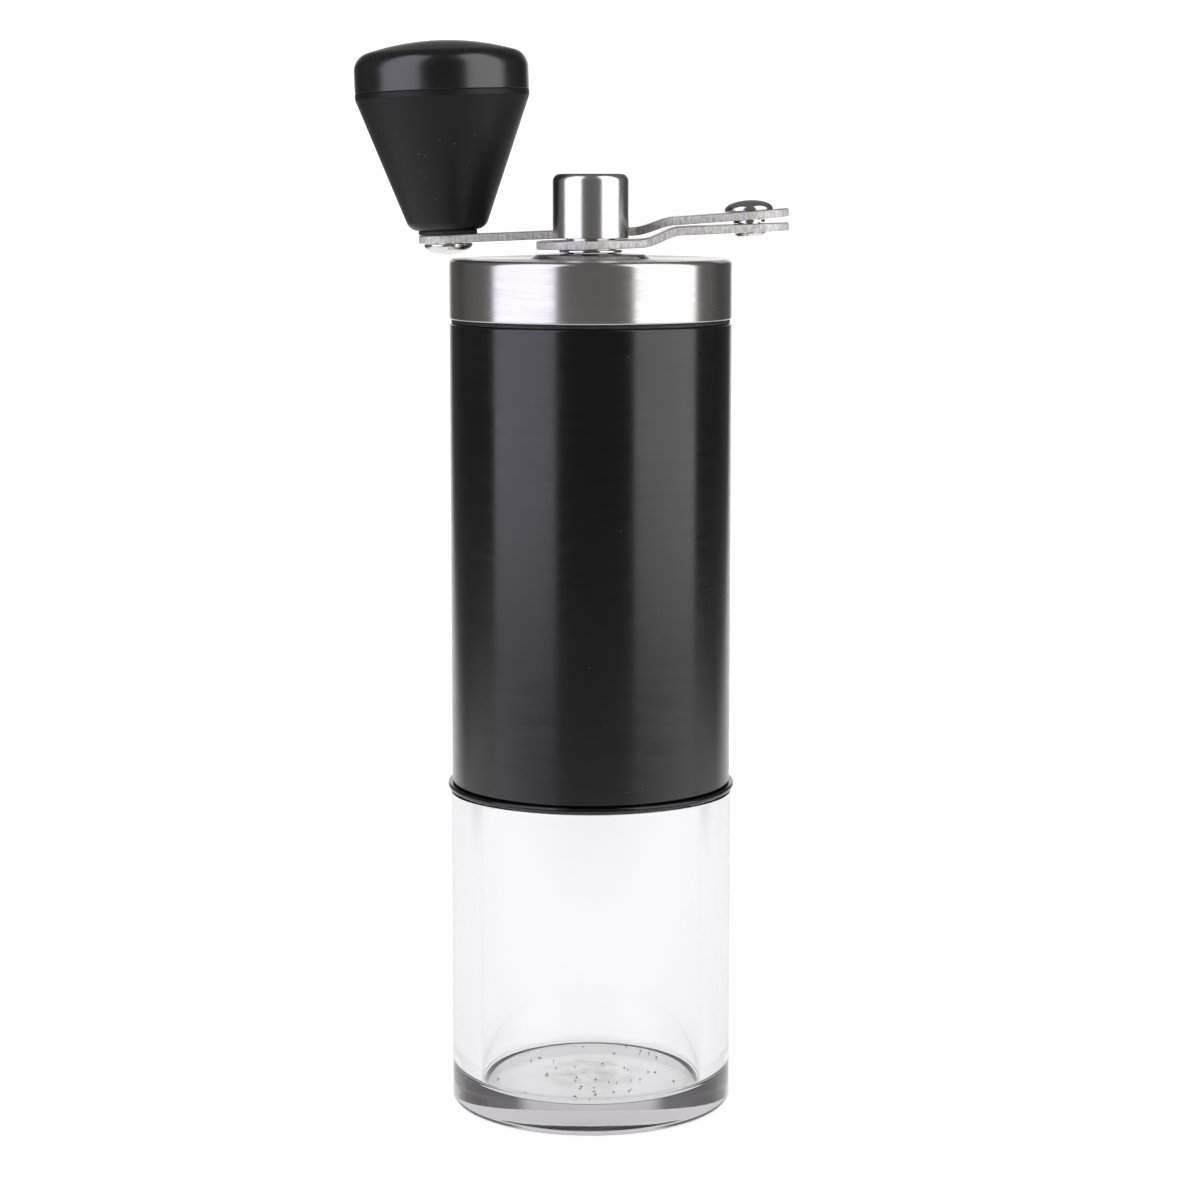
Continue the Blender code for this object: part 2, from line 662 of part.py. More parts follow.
def build_shaft():
    """Round journal with a hexagon above it, a square below it and a threaded end."""
    shaft = place("shaft", prism_mesh("shaft", MID_SIDES, SHAFT_RADIUS, ROUND_SPAN), polished_steel())
    hexagon = prism_mesh("shaft_hexagon", 6, FLATS_RADIUS, (ROUND_SPAN[1] - STACK_OVERLAP, SHAFT_TOP))
    square = prism_mesh("shaft_square", 4, FLATS_RADIUS, (SQUARE_BOTTOM, ROUND_SPAN[0] + STACK_OVERLAP))
    thread = prism_mesh("shaft_thread", SMALL_SIDES, THREAD_RADIUS, (SHAFT_BOTTOM, SQUARE_BOTTOM + MM))
    for mesh in (hexagon, square, thread):
        shape_with(shaft, tool(mesh.name, mesh), "UNION")


def build_thrust_stack():
    """Collar fixed on the shaft and the washer that it runs on, above the lower bush."""
    ring("thrust_washer", THRUST_WASHER_RADII, THRUST_WASHER_SPAN, white_nylon(), SMALL_SIDES)
    ring("shaft_collar", SHAFT_COLLAR_RADII, SHAFT_COLLAR_SPAN, polished_steel(), SMALL_SIDES)


def build_spring():
    """Compression spring on a plain helix, and the washer that it stands on."""
    curve = bpy.data.curves.new("burr_spring", "CURVE")
    curve.dimensions = "3D"
    curve.bevel_depth = SPRING_WIRE_RADIUS
    curve.bevel_resolution = 2
    curve.use_fill_caps = True
    curve.materials.append(polished_steel())
    count = SPRING_TURNS * SPRING_POINTS_PER_TURN
    spline = curve.splines.new("POLY")
    spline.points.add(count)
    bottom, top = SPRING_SPAN
    for i, point in enumerate(spline.points):
        angle = math.tau * i / SPRING_POINTS_PER_TURN
        rise = i / count
        point.co = (SPRING_RADIUS * math.cos(angle), SPRING_RADIUS * math.sin(angle),
                    bottom + (top - bottom) * rise, 1.0)
    spring = bpy.data.objects.new("burr_spring", curve)
    MAIN.objects.link(spring)
    ring("spring_washer", SPRING_WASHER_RADII, SPRING_WASHER_SPAN, polished_steel(), SMALL_SIDES)


def build_carrier():
    """Keyed hub that turns the inner burr with the shaft's square."""
    flange_bottom, flange_top = CARRIER_FLANGE
    profile = [(0.0, CARRIER_TOP), (CARRIER_RADIUS, CARRIER_TOP), (CARRIER_RADIUS, flange_top),
               (CARRIER_FLANGE_RADIUS, flange_top), (CARRIER_FLANGE_RADIUS, flange_bottom),
               (0.0, flange_bottom)]
    carrier = turned("burr_carrier", profile, soft_black(), SMALL_SIDES)
    drill(carrier, 4, CARRIER_HOLE_RADIUS, (flange_bottom - MM, CARRIER_TOP + MM))


def build_adjuster():
    """Click ring under the carrier, and the lobed nut on the shaft's thread."""
    ring("click_ring", CLICK_RING_RADII, CLICK_RING_SPAN, polished_steel(), SMALL_SIDES)
    steps = NUT_LOBES * 4
    outline = []
    for i in range(steps):
        angle = math.tau * i / steps
        radius = NUT_RADIUS - NUT_LOBE_DEPTH * (1 - math.cos(NUT_LOBES * angle)) / 2
        outline.append((radius * math.cos(angle), radius * math.sin(angle)))
    bottom, top = NUT_SPAN
    lift = Matrix.Translation((0.0, 0.0, (bottom + top) / 2))
    mesh = flat_solid_mesh("adjusting_nut", outline, (top - bottom) / 2, lift)
    nut = place("adjusting_nut", mesh, soft_black())
    drill(nut, SMALL_SIDES, NUT_BORE_RADIUS, (bottom - MM, top + MM))
    drill(nut, SMALL_SIDES, NUT_RECESS[0], (NUT_RECESS[1], top + MM))


# ------------------------------------------------------------------------ lid

def build_lid():
    """Steel cap with a low boss over the insert's roof."""
    inside = LID_RADIUS - LID_WALL
    ceiling = LID_RIM_TOP - LID_WALL
    boss = [(LID_HOLE_RADIUS, LID_BOSS_TOP), (LID_BOSS_RADIUS - MM, LID_BOSS_TOP - GAP),
            (LID_BOSS_RADIUS, LID_RIM_TOP + GAP)]
    edge = arc((LID_RADIUS - LID_EDGE, LID_RIM_TOP - LID_EDGE), LID_EDGE, 90, 0, 4)
    skirt = [(LID_RADIUS, LID_BOTTOM), (inside, LID_BOTTOM), (inside, ceiling - CHAMFER),
             (inside - CHAMFER, ceiling), (LID_HOLE_RADIUS, ceiling)]
    turned("lid_shell", boss + edge + skirt, brushed_steel(), WIDE_SIDES)


def build_insert():
    """Moulded insert: a flange between lid and tube, a grooved plug below it and a guide hub."""
    top = LID_RIM_TOP - LID_WALL - CHAMFER
    flange_bottom, flange_top = TUBE_TOP + GAP, LID_BOTTOM - GAP
    groove_bottom, groove_top = PLUG_GROOVE
    outside = [(INSERT_RADIUS - CHAMFER, top), (INSERT_RADIUS, top - CHAMFER), (INSERT_RADIUS, flange_top),
               (INSERT_FLANGE_RADIUS, flange_top), (INSERT_FLANGE_RADIUS, flange_bottom),
               (PLUG_RADIUS, flange_bottom), (PLUG_RADIUS, groove_top), (PLUG_GROOVE_RADIUS, groove_top),
               (PLUG_GROOVE_RADIUS, groove_bottom), (PLUG_RADIUS, groove_bottom), (PLUG_RADIUS, PLUG_BOTTOM)]
    bore = [(PLUG_BORE_RADIUS, PLUG_BOTTOM), (PLUG_BORE_RADIUS, INSERT_ROOF), (INSERT_HUB_RADIUS, INSERT_ROOF),
            (INSERT_HUB_RADIUS, INSERT_HUB_BOTTOM), (LID_HOLE_RADIUS, INSERT_HUB_BOTTOM),
            (LID_HOLE_RADIUS, top)]
    turned("lid_insert", outside + bore, soft_black(), MID_SIDES)


# ---------------------------------------------------------------------- crank

def slope_line(x, x0, z0, slope):
    """Height at x of a line through (x0, z0)."""
    return z0 + (x - x0) * math.tan(slope)


def lower_top(x):
    """Height of the lower arm's top near the elbow."""
    return slope_line(x, ELBOW.x, ELBOW.z + PLATE, LOWER_SLOPE)


def upper_top(x):
    """Height of the upper arm's top near the elbow."""
    return slope_line(x, ELBOW.x, ELBOW.z + 2 * PLATE + ELBOW_GAP, UPPER_SLOPE)


def build_lower_arm():
    """Hub disc, a short ramp up, and the strap out to the elbow."""
    hub_top = HUB_UNDERSIDE + PLATE
    near, far = LOWER_RAMP
    ends = (-1.2 * HUB_RADIUS, ELBOW.x + 2 * ELBOW_END_RADIUS)
    top_line = [(ends[0], slope_line(ends[0], 0.0, hub_top, HUB_SLOPE)),
                (near, slope_line(near, 0.0, hub_top, HUB_SLOPE)),
                (far, lower_top(far)), (ends[1], lower_top(ends[1]))]
    elbow = ELBOW.xy
    length = elbow.length
    steps = 28
    path = [elbow * (i / steps) for i in range(steps + 1)]

    def half_width(s):
        """The hub disc, then a strap that widens to the elbow."""
        disc = math.sqrt(max(HUB_RADIUS ** 2 - s ** 2, 0.0))
        strap = LOWER_NECK_HALF_WIDTH + (ELBOW_END_RADIUS - LOWER_NECK_HALF_WIDTH) * s / length
        return max(disc, strap)

    plan = strap_outline(path, half_width, HUB_RADIUS, ELBOW_END_RADIUS)
    arm = bent_plate("lower_arm", top_line, plan, brushed_steel())
    drill(arm, SMALL_SIDES, SPIGOT_RADIUS + GAP, (HUB_UNDERSIDE - 2 * MM, HUB_UNDERSIDE + 4 * MM))
    drill(arm, SMALL_SIDES, RIVET_HOLE_RADIUS, (-4 * MM, 4 * MM), parent=bpy.data.objects["elbow_axis"])


def smooth_step(t):
    """Rises smoothly from 0 to 1 as t does."""
    t = min(max(t, 0.0), 1.0)
    return t * t * (3.0 - 2.0 * t)


def build_upper_arm():
    """Strap from the elbow that ramps down and veers behind the socket, then runs to the knob."""
    start, end = UPPER_RAMP
    ends = (ELBOW.x + 2 * ELBOW_END_RADIUS, KNOB.x - 2 * KNOB_END_RADIUS)
    low_top = UPPER_LOW_UNDERSIDE + PLATE
    top_line = [(ends[1], slope_line(ends[1], end, low_top, UPPER_LOW_SLOPE)), (end, low_top),
                (start, upper_top(start)), (ends[0], upper_top(ends[0]))]
    steps = 40
    veer_start, veer_end = UPPER_VEER
    path = []
    for i in range(steps + 1):
        x = ELBOW.x + (KNOB.x - ELBOW.x) * i / steps
        veer = smooth_step((veer_start - x) / (veer_start - veer_end))
        path.append(Vector((x, ELBOW.y + (UPPER_REACH_Y - ELBOW.y) * veer)))
    length = sum((b - a).length for a, b in zip(path, path[1:]))

    def half_width(s):
        """A strap that narrows smoothly from the elbow."""
        return ELBOW_END_RADIUS + (KNOB_END_RADIUS - ELBOW_END_RADIUS) * smooth_step(s / (0.6 * length))

    plan = strap_outline(path, half_width, ELBOW_END_RADIUS, KNOB_END_RADIUS)
    arm = bent_plate("upper_arm", top_line, plan, brushed_steel())
    drill(arm, SMALL_SIDES, RIVET_HOLE_RADIUS, (-4 * MM, 8 * MM), parent=bpy.data.objects["elbow_axis"])
    drill(arm, SMALL_SIDES, KNOB_PIN_RADIUS + GAP, (-6 * MM, 6 * MM), parent=bpy.data.objects["knob_axis"])


def half_dome(radius, base, height, steps):
    """Points (radius, height) down a dome's side, its apex left out."""
    turns = [math.pi / 2 * t / steps for t in range(1, steps + 1)]
    return [(radius * math.sin(turn), base + height * math.cos(turn)) for turn in turns]


def build_elbow():
    """Washer between the arms and the domed rivet through them, on the elbow's own axis."""
    axis = bpy.data.objects["elbow_axis"]
    ring("elbow_washer", (RIVET_HOLE_RADIUS, ELBOW_WASHER_RADIUS), (PLATE + GAP, PLATE + ELBOW_GAP - GAP),
         polished_steel(), SMALL_SIDES, axis)
    head_base = 2 * PLATE + ELBOW_GAP + GAP
    head_radius, head_height = RIVET_HEAD
    tail_radius, tail_height = RIVET_TAIL
    profile = [(0.0, head_base + head_height)] + half_dome(head_radius, head_base, head_height, 4)
    profile += [(RIVET_RADIUS, head_base), (RIVET_RADIUS, -GAP), (tail_radius, -GAP),
                (tail_radius - CHAMFER, -GAP - tail_height), (0.0, -GAP - tail_height)]
    turned("elbow_rivet", profile, polished_steel(), SMALL_SIDES, axis)


def build_socket():
    """Post that slips over the shaft's hexagon, riveted through the hub."""
    edge = arc((SOCKET_RADIUS - SOCKET_EDGE, SOCKET_TOP - SOCKET_EDGE), SOCKET_EDGE, 90, 0, 4)
    profile = [(0.0, SOCKET_TOP)] + edge
    profile += [(SOCKET_RADIUS, SOCKET_BOTTOM), (SPIGOT_RADIUS, SOCKET_BOTTOM),
                (SPIGOT_RADIUS, SPIGOT_BOTTOM), (0.0, SPIGOT_BOTTOM)]
    socket = turned("drive_socket", profile, polished_steel(), MID_SIDES)
    drill(socket, 6, FLATS_RADIUS + 2 * GAP, (SPIGOT_BOTTOM - MM, SOCKET_HEX_TOP))
    ring("hub_washer", HUB_WASHER_RADII, HUB_WASHER, polished_steel(), MID_SIDES)


# ----------------------------------------------------------------------- knob

def build_grip():
    """Hollow cone with an upright band on top, a rounded foot and a boss for the pin."""
    top = KNOB_PARTING - GAP
    band_bottom = KNOB_PARTING - KNOB_BAND
    corner_centre = (KNOB_FOOT_RADIUS - KNOB_FOOT_ROUND, KNOB_FOOT + KNOB_FOOT_ROUND)
    corner = arc(corner_centre, KNOB_FOOT_ROUND, -20, -90, 3)
    foot_radius, foot_top = corner[0]
    slope = (KNOB_RADIUS - foot_radius) / (band_bottom - foot_top)
    floor_radius = KNOB_RADIUS - KNOB_WALL - slope * (top - KNOB_FLOOR)
    profile = [(KNOB_RADIUS, top), (KNOB_RADIUS, band_bottom)] + corner
    profile += [(KNOB_BORE_RADIUS, KNOB_FOOT), (KNOB_BORE_RADIUS, KNOB_BOSS_TOP),
                (KNOB_BOSS_RADIUS, KNOB_BOSS_TOP), (KNOB_BOSS_RADIUS, KNOB_FLOOR),
                (floor_radius, KNOB_FLOOR), (KNOB_RADIUS - KNOB_WALL, top)]
    axis = bpy.data.objects["knob_axis"]
    turned("knob_grip", profile, soft_black(), MID_SIDES, axis)
    ring("knob_washer", (KNOB_BORE_RADIUS, KNOB_WASHER_RADIUS), (GAP, KNOB_FOOT - GAP), soft_black(),
         SMALL_SIDES, axis)


def build_cap():
    """Domed cap with a spigot that enters the grip."""
    rim = KNOB_PARTING + GAP
    spigot_radius = KNOB_RADIUS - KNOB_WALL - CAP_SPIGOT_GAP
    foot_radius = spigot_radius - 2 * CAP_SPIGOT_GAP
    bore = spigot_radius - CAP_SPIGOT_WALL - 2 * CAP_SPIGOT_GAP
    profile = knob_crown()
    profile += [(KNOB_RADIUS, rim), (spigot_radius, rim), (foot_radius, CAP_SPIGOT_BOTTOM),
                (bore, CAP_SPIGOT_BOTTOM), (bore, CAP_CEILING), (0.0, CAP_CEILING + MM)]
    turned("knob_cap", profile, gloss_black(), MID_SIDES, bpy.data.objects["knob_axis"])


def build_knob_pin():
    """Pin through arm and grip, its domed head under the arm, and the screw and washer on its end."""
    axis = bpy.data.objects["knob_axis"]
    head_radius, head_height = PIN_HEAD
    head_top = -PLATE - GAP
    head_bottom = head_top - PIN_HEAD_RIM
    dome = half_dome(head_radius, head_bottom, -head_height, 4)
    pin = [(0.0, KNOB_PIN_TOP), (KNOB_PIN_RADIUS, KNOB_PIN_TOP), (KNOB_PIN_RADIUS, head_top),
           (head_radius, head_top)] + dome[::-1] + [(0.0, head_bottom - head_height)]
    knob_pin = turned("knob_pin", pin, polished_steel(), SMALL_SIDES, axis)
    hole_radius, hole_depth = PIN_HOLE
    drill(knob_pin, SCREW_SIDES, hole_radius, (KNOB_PIN_TOP - hole_depth, KNOB_PIN_TOP + MM), parent=axis)

    shank_radius, shank_length = KNOB_SCREW_SHANK
    washer_radius, washer_thickness = KNOB_SCREW_WASHER
    screw_radius, screw_height = KNOB_SCREW_HEAD
    seat = KNOB_PIN_TOP + GAP
    washer_top = seat + washer_thickness
    screw = [(0.0, washer_top + screw_height), (screw_radius - 2 * CHAMFER, washer_top + screw_height),
             (screw_radius, washer_top + CHAMFER), (screw_radius, washer_top), (washer_radius, washer_top),
             (washer_radius, seat), (shank_radius, seat), (shank_radius, seat - shank_length),
             (0.0, seat - shank_length)]
    turned("knob_screw", screw, polished_steel(), SMALL_SIDES, axis)


def knob_crown():
    """The cap's outline from its middle: a shallow spherical crown, then a rounder shoulder."""
    centre_radius = KNOB_RADIUS - KNOB_SHOULDER
    tilt = math.asin(centre_radius / (KNOB_CROWN_RADIUS - KNOB_SHOULDER))
    crown_centre = KNOB_HEIGHT - KNOB_CROWN_RADIUS
    shoulder_centre = crown_centre + (KNOB_CROWN_RADIUS - KNOB_SHOULDER) * math.cos(tilt)
    edge = 90 - math.degrees(tilt)
    crown = arc((0.0, crown_centre), KNOB_CROWN_RADIUS, 90, edge, 3)
    crown[0] = (0.0, KNOB_HEIGHT)
    return crown[:-1] + arc((centre_radius, shoulder_centre), KNOB_SHOULDER, edge, 0, 4)


def build_all():
    """Build every sub-part in its resting place."""
    clear_scene()
    joint_frame("elbow_axis", ELBOW, ELBOW_LEAN)
    joint_frame("knob_axis", KNOB, KNOB_LEAN)
    build_jar()
    build_seal("jar_seal", JAR_SEAL_RADIUS, sum(NECK_GROOVE) / 2, JAR_SEAL_SECTION)
    build_collar()
    build_tube()
    build_housing()
    build_flanged_bush("lower_bush", LOWER_BUSH_RADII, LOWER_BUSH_SPAN)
    build_bracket()
    build_flanged_bush("upper_bush", UPPER_BUSH_RADII, UPPER_BUSH_SPAN)
    build_retainer()
    build_ring_burr()
    build_cone_burr()
    build_shaft()
    build_thrust_stack()
    build_spring()
    build_carrier()
    build_adjuster()
    build_lid()
    build_insert()
    build_seal("lid_seal", LID_SEAL_RADIUS, sum(PLUG_GROOVE) / 2, LID_SEAL_SECTION)
    bpy.context.view_layer.update()
    build_lower_arm()
    build_upper_arm()
    build_elbow()
    build_socket()
    build_grip()
    build_cap()
    build_knob_pin()


build_all()
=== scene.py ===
"""Hand crank coffee grinder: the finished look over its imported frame.

Every sub-assembly is a class. Its dataclass fields are the sizes, in metres, that the frame
does not give; its places come from the frame's own boxes and joints. A surface is either a
profile turned about an axis or a section carried round a plate's outline, and both are worked
out as whole arrays.
"""
import json
import logging
import math
from dataclasses import dataclass
from enum import Enum
from typing import Any, Callable, Sequence

import bpy
import numpy as np
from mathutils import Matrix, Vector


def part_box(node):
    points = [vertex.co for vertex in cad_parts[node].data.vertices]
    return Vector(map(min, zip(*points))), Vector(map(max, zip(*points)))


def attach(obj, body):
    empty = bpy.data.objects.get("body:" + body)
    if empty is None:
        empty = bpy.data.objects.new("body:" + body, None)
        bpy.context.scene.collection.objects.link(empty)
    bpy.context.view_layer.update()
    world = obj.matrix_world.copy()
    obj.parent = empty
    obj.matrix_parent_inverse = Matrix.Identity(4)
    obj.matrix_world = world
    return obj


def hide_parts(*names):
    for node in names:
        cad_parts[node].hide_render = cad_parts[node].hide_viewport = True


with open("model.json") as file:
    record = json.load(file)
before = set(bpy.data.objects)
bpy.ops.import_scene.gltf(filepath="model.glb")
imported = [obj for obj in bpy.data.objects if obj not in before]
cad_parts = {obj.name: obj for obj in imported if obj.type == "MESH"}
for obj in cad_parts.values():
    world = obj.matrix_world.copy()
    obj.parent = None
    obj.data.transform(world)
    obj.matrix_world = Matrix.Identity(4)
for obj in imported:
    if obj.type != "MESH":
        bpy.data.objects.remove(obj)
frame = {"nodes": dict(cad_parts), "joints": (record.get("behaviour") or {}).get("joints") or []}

MM = 0.001
WELD = 1e-7
DUST_CELL = 1.3 * MM
DUST_SIZE = 0.11
Array = np.ndarray
Socket = bpy.types.NodeSocket
log = logging.getLogger("grinder")


# --------------------------------------------------------------- surfaces

def rounded(corners: Sequence[tuple[float, float, float]], steps: int = 6, hold: float = 0.12 * MM) -> Array:
    """A profile through corners, each rounded by its own radius.

    A corner becomes the arc that is tangent to its two sides, between the tangent points at
    radius / tan(half the angle) from it. A holding point a little way along each side keeps the
    shading of the flat beside the arc flat.

    Args:
        corners: (radius from the axis, height, rounding) of each corner in order.
        steps: Segments in each arc.
        hold: Distance from an arc to its holding points.

    Returns:
        Points (radius, height), one row each.
    """
    at = np.array([(r, z) for r, z, _ in corners])
    runs = [at[:1]]
    for i in range(1, len(at) - 1):
        back, ahead = at[i - 1] - at[i], at[i + 1] - at[i]
        to_back, to_ahead = np.linalg.norm(back), np.linalg.norm(ahead)
        back, ahead = back / to_back, ahead / to_ahead
        half = math.acos(float(np.clip(back @ ahead, -1.0, 1.0))) / 2
        radius = corners[i][2]
        if radius <= 0.0 or half > math.radians(89):
            runs.append(at[i:i + 1])
            continue
        reach = radius / math.tan(half)
        middle = at[i] + (back + ahead) / np.linalg.norm(back + ahead) * radius / math.sin(half)
        first, last = at[i] + back * reach - middle, at[i] + ahead * reach - middle
        sweep = math.pi - 2 * half
        share = np.linspace(0.0, 1.0, steps + 1)[:, None]
        bend = (np.sin((1 - share) * sweep) * first + np.sin(share * sweep) * last) / math.sin(sweep)
        run = middle + bend
        if to_back > reach + 2.5 * hold:
            run = np.vstack([at[i] + back * (reach + hold), run])
        if to_ahead > reach + 2.5 * hold:
            run = np.vstack([run, at[i] + ahead * (reach + hold)])
        runs.append(run)
    runs.append(at[-1:])
    return np.vstack(runs)


def loop(corners: Sequence[tuple[float, float, float]], steps: int = 6, hold: float = 0.12 * MM) -> Array:
    """A rounded profile that closes on itself, from a first point in the middle of one side.

    Args:
        corners: (radius from the axis, height, rounding) of that point and of each corner.
        steps: Segments in each arc.
        hold: Distance from an arc to its holding points.

    Returns:
        Points (radius, height), one row each, without the first one again.
    """
    return rounded([*corners, corners[0]], steps, hold)[:-1]


def arc(centre: tuple[float, float], radius: float, start: float, end: float, steps: int = 12) -> Array:
    """Points (radius, height) on a circle's arc, at equal angles in degrees from outward.

    Args:
        centre: The circle's middle.
        radius: The circle's radius.
        start: First angle.
        end: Last angle.
        steps: Segments in the arc.

    Returns:
        One point a row.
    """
    angle = np.radians(np.linspace(start, end, steps + 1))
    return np.column_stack([centre[0] + radius * np.cos(angle), centre[1] + radius * np.sin(angle)])


def smooth_step(t: Array | float) -> Array | float:
    """3t^2 - 2t^3, held at 0 and 1 outside the unit run."""
    t = np.clip(t, 0.0, 1.0)
    return t * t * (3.0 - 2.0 * t)


def grid_faces(rows: int, columns: int, wrap_rows: bool) -> Array:
    """Quads of a grid whose columns close on themselves.

    Args:
        rows: Points along the profile.
        columns: Points round the axis.
        wrap_rows: Whether the last row joins the first.

    Returns:
        Four point numbers a row; point (i, j) is number i * columns + j.
    """
    i = np.arange(rows if wrap_rows else rows - 1)
    j = np.arange(columns)
    i, j = [a.ravel() for a in np.meshgrid(i, j, indexing="ij")]
    up, across = (i + 1) % rows, (j + 1) % columns
    return np.column_stack([i * columns + j, i * columns + across, up * columns + across, up * columns + j])


def turned(profile: Array, sides: int = 128, shape: Array | None = None) -> tuple[Array, Array]:
    """A surface of revolution: point (i, j) is profile row i turned by 2 pi j / sides about Z.

    Args:
        profile: (radius, height) rows. A profile that starts off the axis closes on itself.
        sides: Points round the axis.
        shape: Factors on the radius, a row for each profile row, for a piece that isn't round.

    Returns:
        Points and quads.
    """
    angle = np.arange(sides) * math.tau / sides
    radius = profile[:, :1] * (1.0 if shape is None else shape)
    x, y = radius * np.cos(angle), radius * np.sin(angle)
    z = np.broadcast_to(profile[:, 1:2], x.shape)
    points = np.stack([x, y, z], axis=-1).reshape(-1, 3)
    return points, grid_faces(len(profile), sides, bool(profile[0, 0] > 0.0))


def welded(points: Array, quads: Array) -> tuple[Array, list[list[int]], Array]:
    """Points that fall together made one, and the faces that are left.

    Args:
        points: Every point of the surface.
        quads: Four point numbers a face.

    Returns:
        The points that differ, faces of four or three corners, and each kept point's old number.
    """
    keys = np.floor(points / WELD + 0.25).astype(np.int64)
    _, first, number = np.unique(keys, axis=0, return_index=True, return_inverse=True)
    faces = number.reshape(-1)[quads]
    doubled = faces == np.roll(faces, -1, axis=1)
    count = doubled.sum(axis=1)
    crossed = (faces[:, 0] == faces[:, 2]) | (faces[:, 1] == faces[:, 3])
    whole = faces[(count == 0) & ~crossed]
    cut = (count == 1) & ~crossed
    triangles = faces[cut][~doubled[cut]].reshape(-1, 3)
    return points[first], whole.tolist() + triangles.tolist(), first


@dataclass(frozen=True)
class Stand:
    """Where a piece's own axis stands in the frame.

    A point turns about Y by the lean, towards -X, and then moves to the standing point.
    """

    at: tuple[float, float, float] = (0.0, 0.0, 0.0)
    lean: float = 0.0

    @classmethod
    def on_joint(cls, name: str) -> "Stand":
        """The stand on one of the frame's hinges.

        Args:
            name: The joint's name.

        Returns:
            A stand at the joint's point, leaning as its axis does.
        """
        joint = next(j for j in frame["joints"] if j["name"] == name)
        x, _, z = joint["axis"]
        return cls(tuple(joint["pos_m"]), math.atan2(-x, z))

    def place(self, points: Array) -> Array:
        """Points given on the piece's own axis, moved into the frame."""
        c, s = math.cos(self.lean), math.sin(self.lean)
        turn = np.array([[c, 0.0, -s], [0.0, 1.0, 0.0], [s, 0.0, c]])
        return points @ turn.T + np.array(self.at)


UPRIGHT = Stand()


@dataclass
class Piece:
    """A finished piece: its mesh, its finish and the body that it rides on."""

    name: str
    body: str
    slot: str
    replaces: tuple[str, ...]
    sharp: float = 34.0

    def build(self, surface: tuple[Array, Array], material: bpy.types.Material,
              stand: Stand = UPRIGHT, fields: dict[str, Array] | None = None) -> bpy.types.Object:
        """Make the object from a surface's arrays and hand it to the frame.

        Args:
            surface: Points and quads.
            material: The piece's finish.
            stand: Where the piece's own axis stands.
            fields: Named numbers, one for each point, that the finish reads.

        Returns:
            The object, at the origin, with its place in its mesh.
        """
        points, quads = surface
        kept, faces, first = welded(stand.place(points), quads)
        mesh = bpy.data.meshes.new(self.name)
        mesh.from_pydata(kept, [], faces)
        self.face_outwards(mesh)
        mesh.polygons.foreach_set("use_smooth", np.ones(len(mesh.polygons), bool))
        mesh.set_sharp_from_angle(angle=math.radians(self.sharp))
        for name, values in (fields or {}).items():
            attribute = mesh.attributes.new(name, "FLOAT", "POINT")
            attribute.data.foreach_set("value", values[first].astype(np.float32))
        mesh.materials.append(material)
        mesh.validate()
        piece = bpy.data.objects.new(self.name, mesh)
        bpy.context.scene.collection.objects.link(piece)
        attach(piece, self.body)
        if self.replaces:
            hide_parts(*self.replaces)
        log.info("%s rides on %s with %d faces", self.name, self.body, len(mesh.polygons))
        return piece

    def turn(self, profile: Array, sides: int, finish: "TurnedMetal | MouldedPlastic | ClearPlastic",
             stand: Stand = UPRIGHT) -> bpy.types.Object:
        """Make the object as a surface of revolution.

        Args:
            profile: (radius, height) rows.
            sides: Points round the axis.
            finish: The piece's finish.
            stand: Where the piece's own axis stands.

        Returns:
            The object.
        """
        return self.build(turned(profile, sides), finish.material(stand), stand)

    @staticmethod
    def face_outwards(mesh: bpy.types.Mesh) -> None:
        """Turn the faces over if the closed surface's signed volume is negative."""
        mesh.calc_loop_triangles()
        corners = np.zeros(len(mesh.loop_triangles) * 3, np.int32)
        mesh.loop_triangles.foreach_get("vertices", corners)
        at = np.zeros(len(mesh.vertices) * 3, np.float32)
        mesh.vertices.foreach_get("co", at)
        a, b, c = at.reshape(-1, 3).astype(float)[corners.reshape(-1, 3)].transpose(1, 0, 2)
        if np.einsum("ij,ij->", np.cross(a, b), c) < 0.0:
            mesh.flip_normals()


# --------------------------------------------------------------- finishes

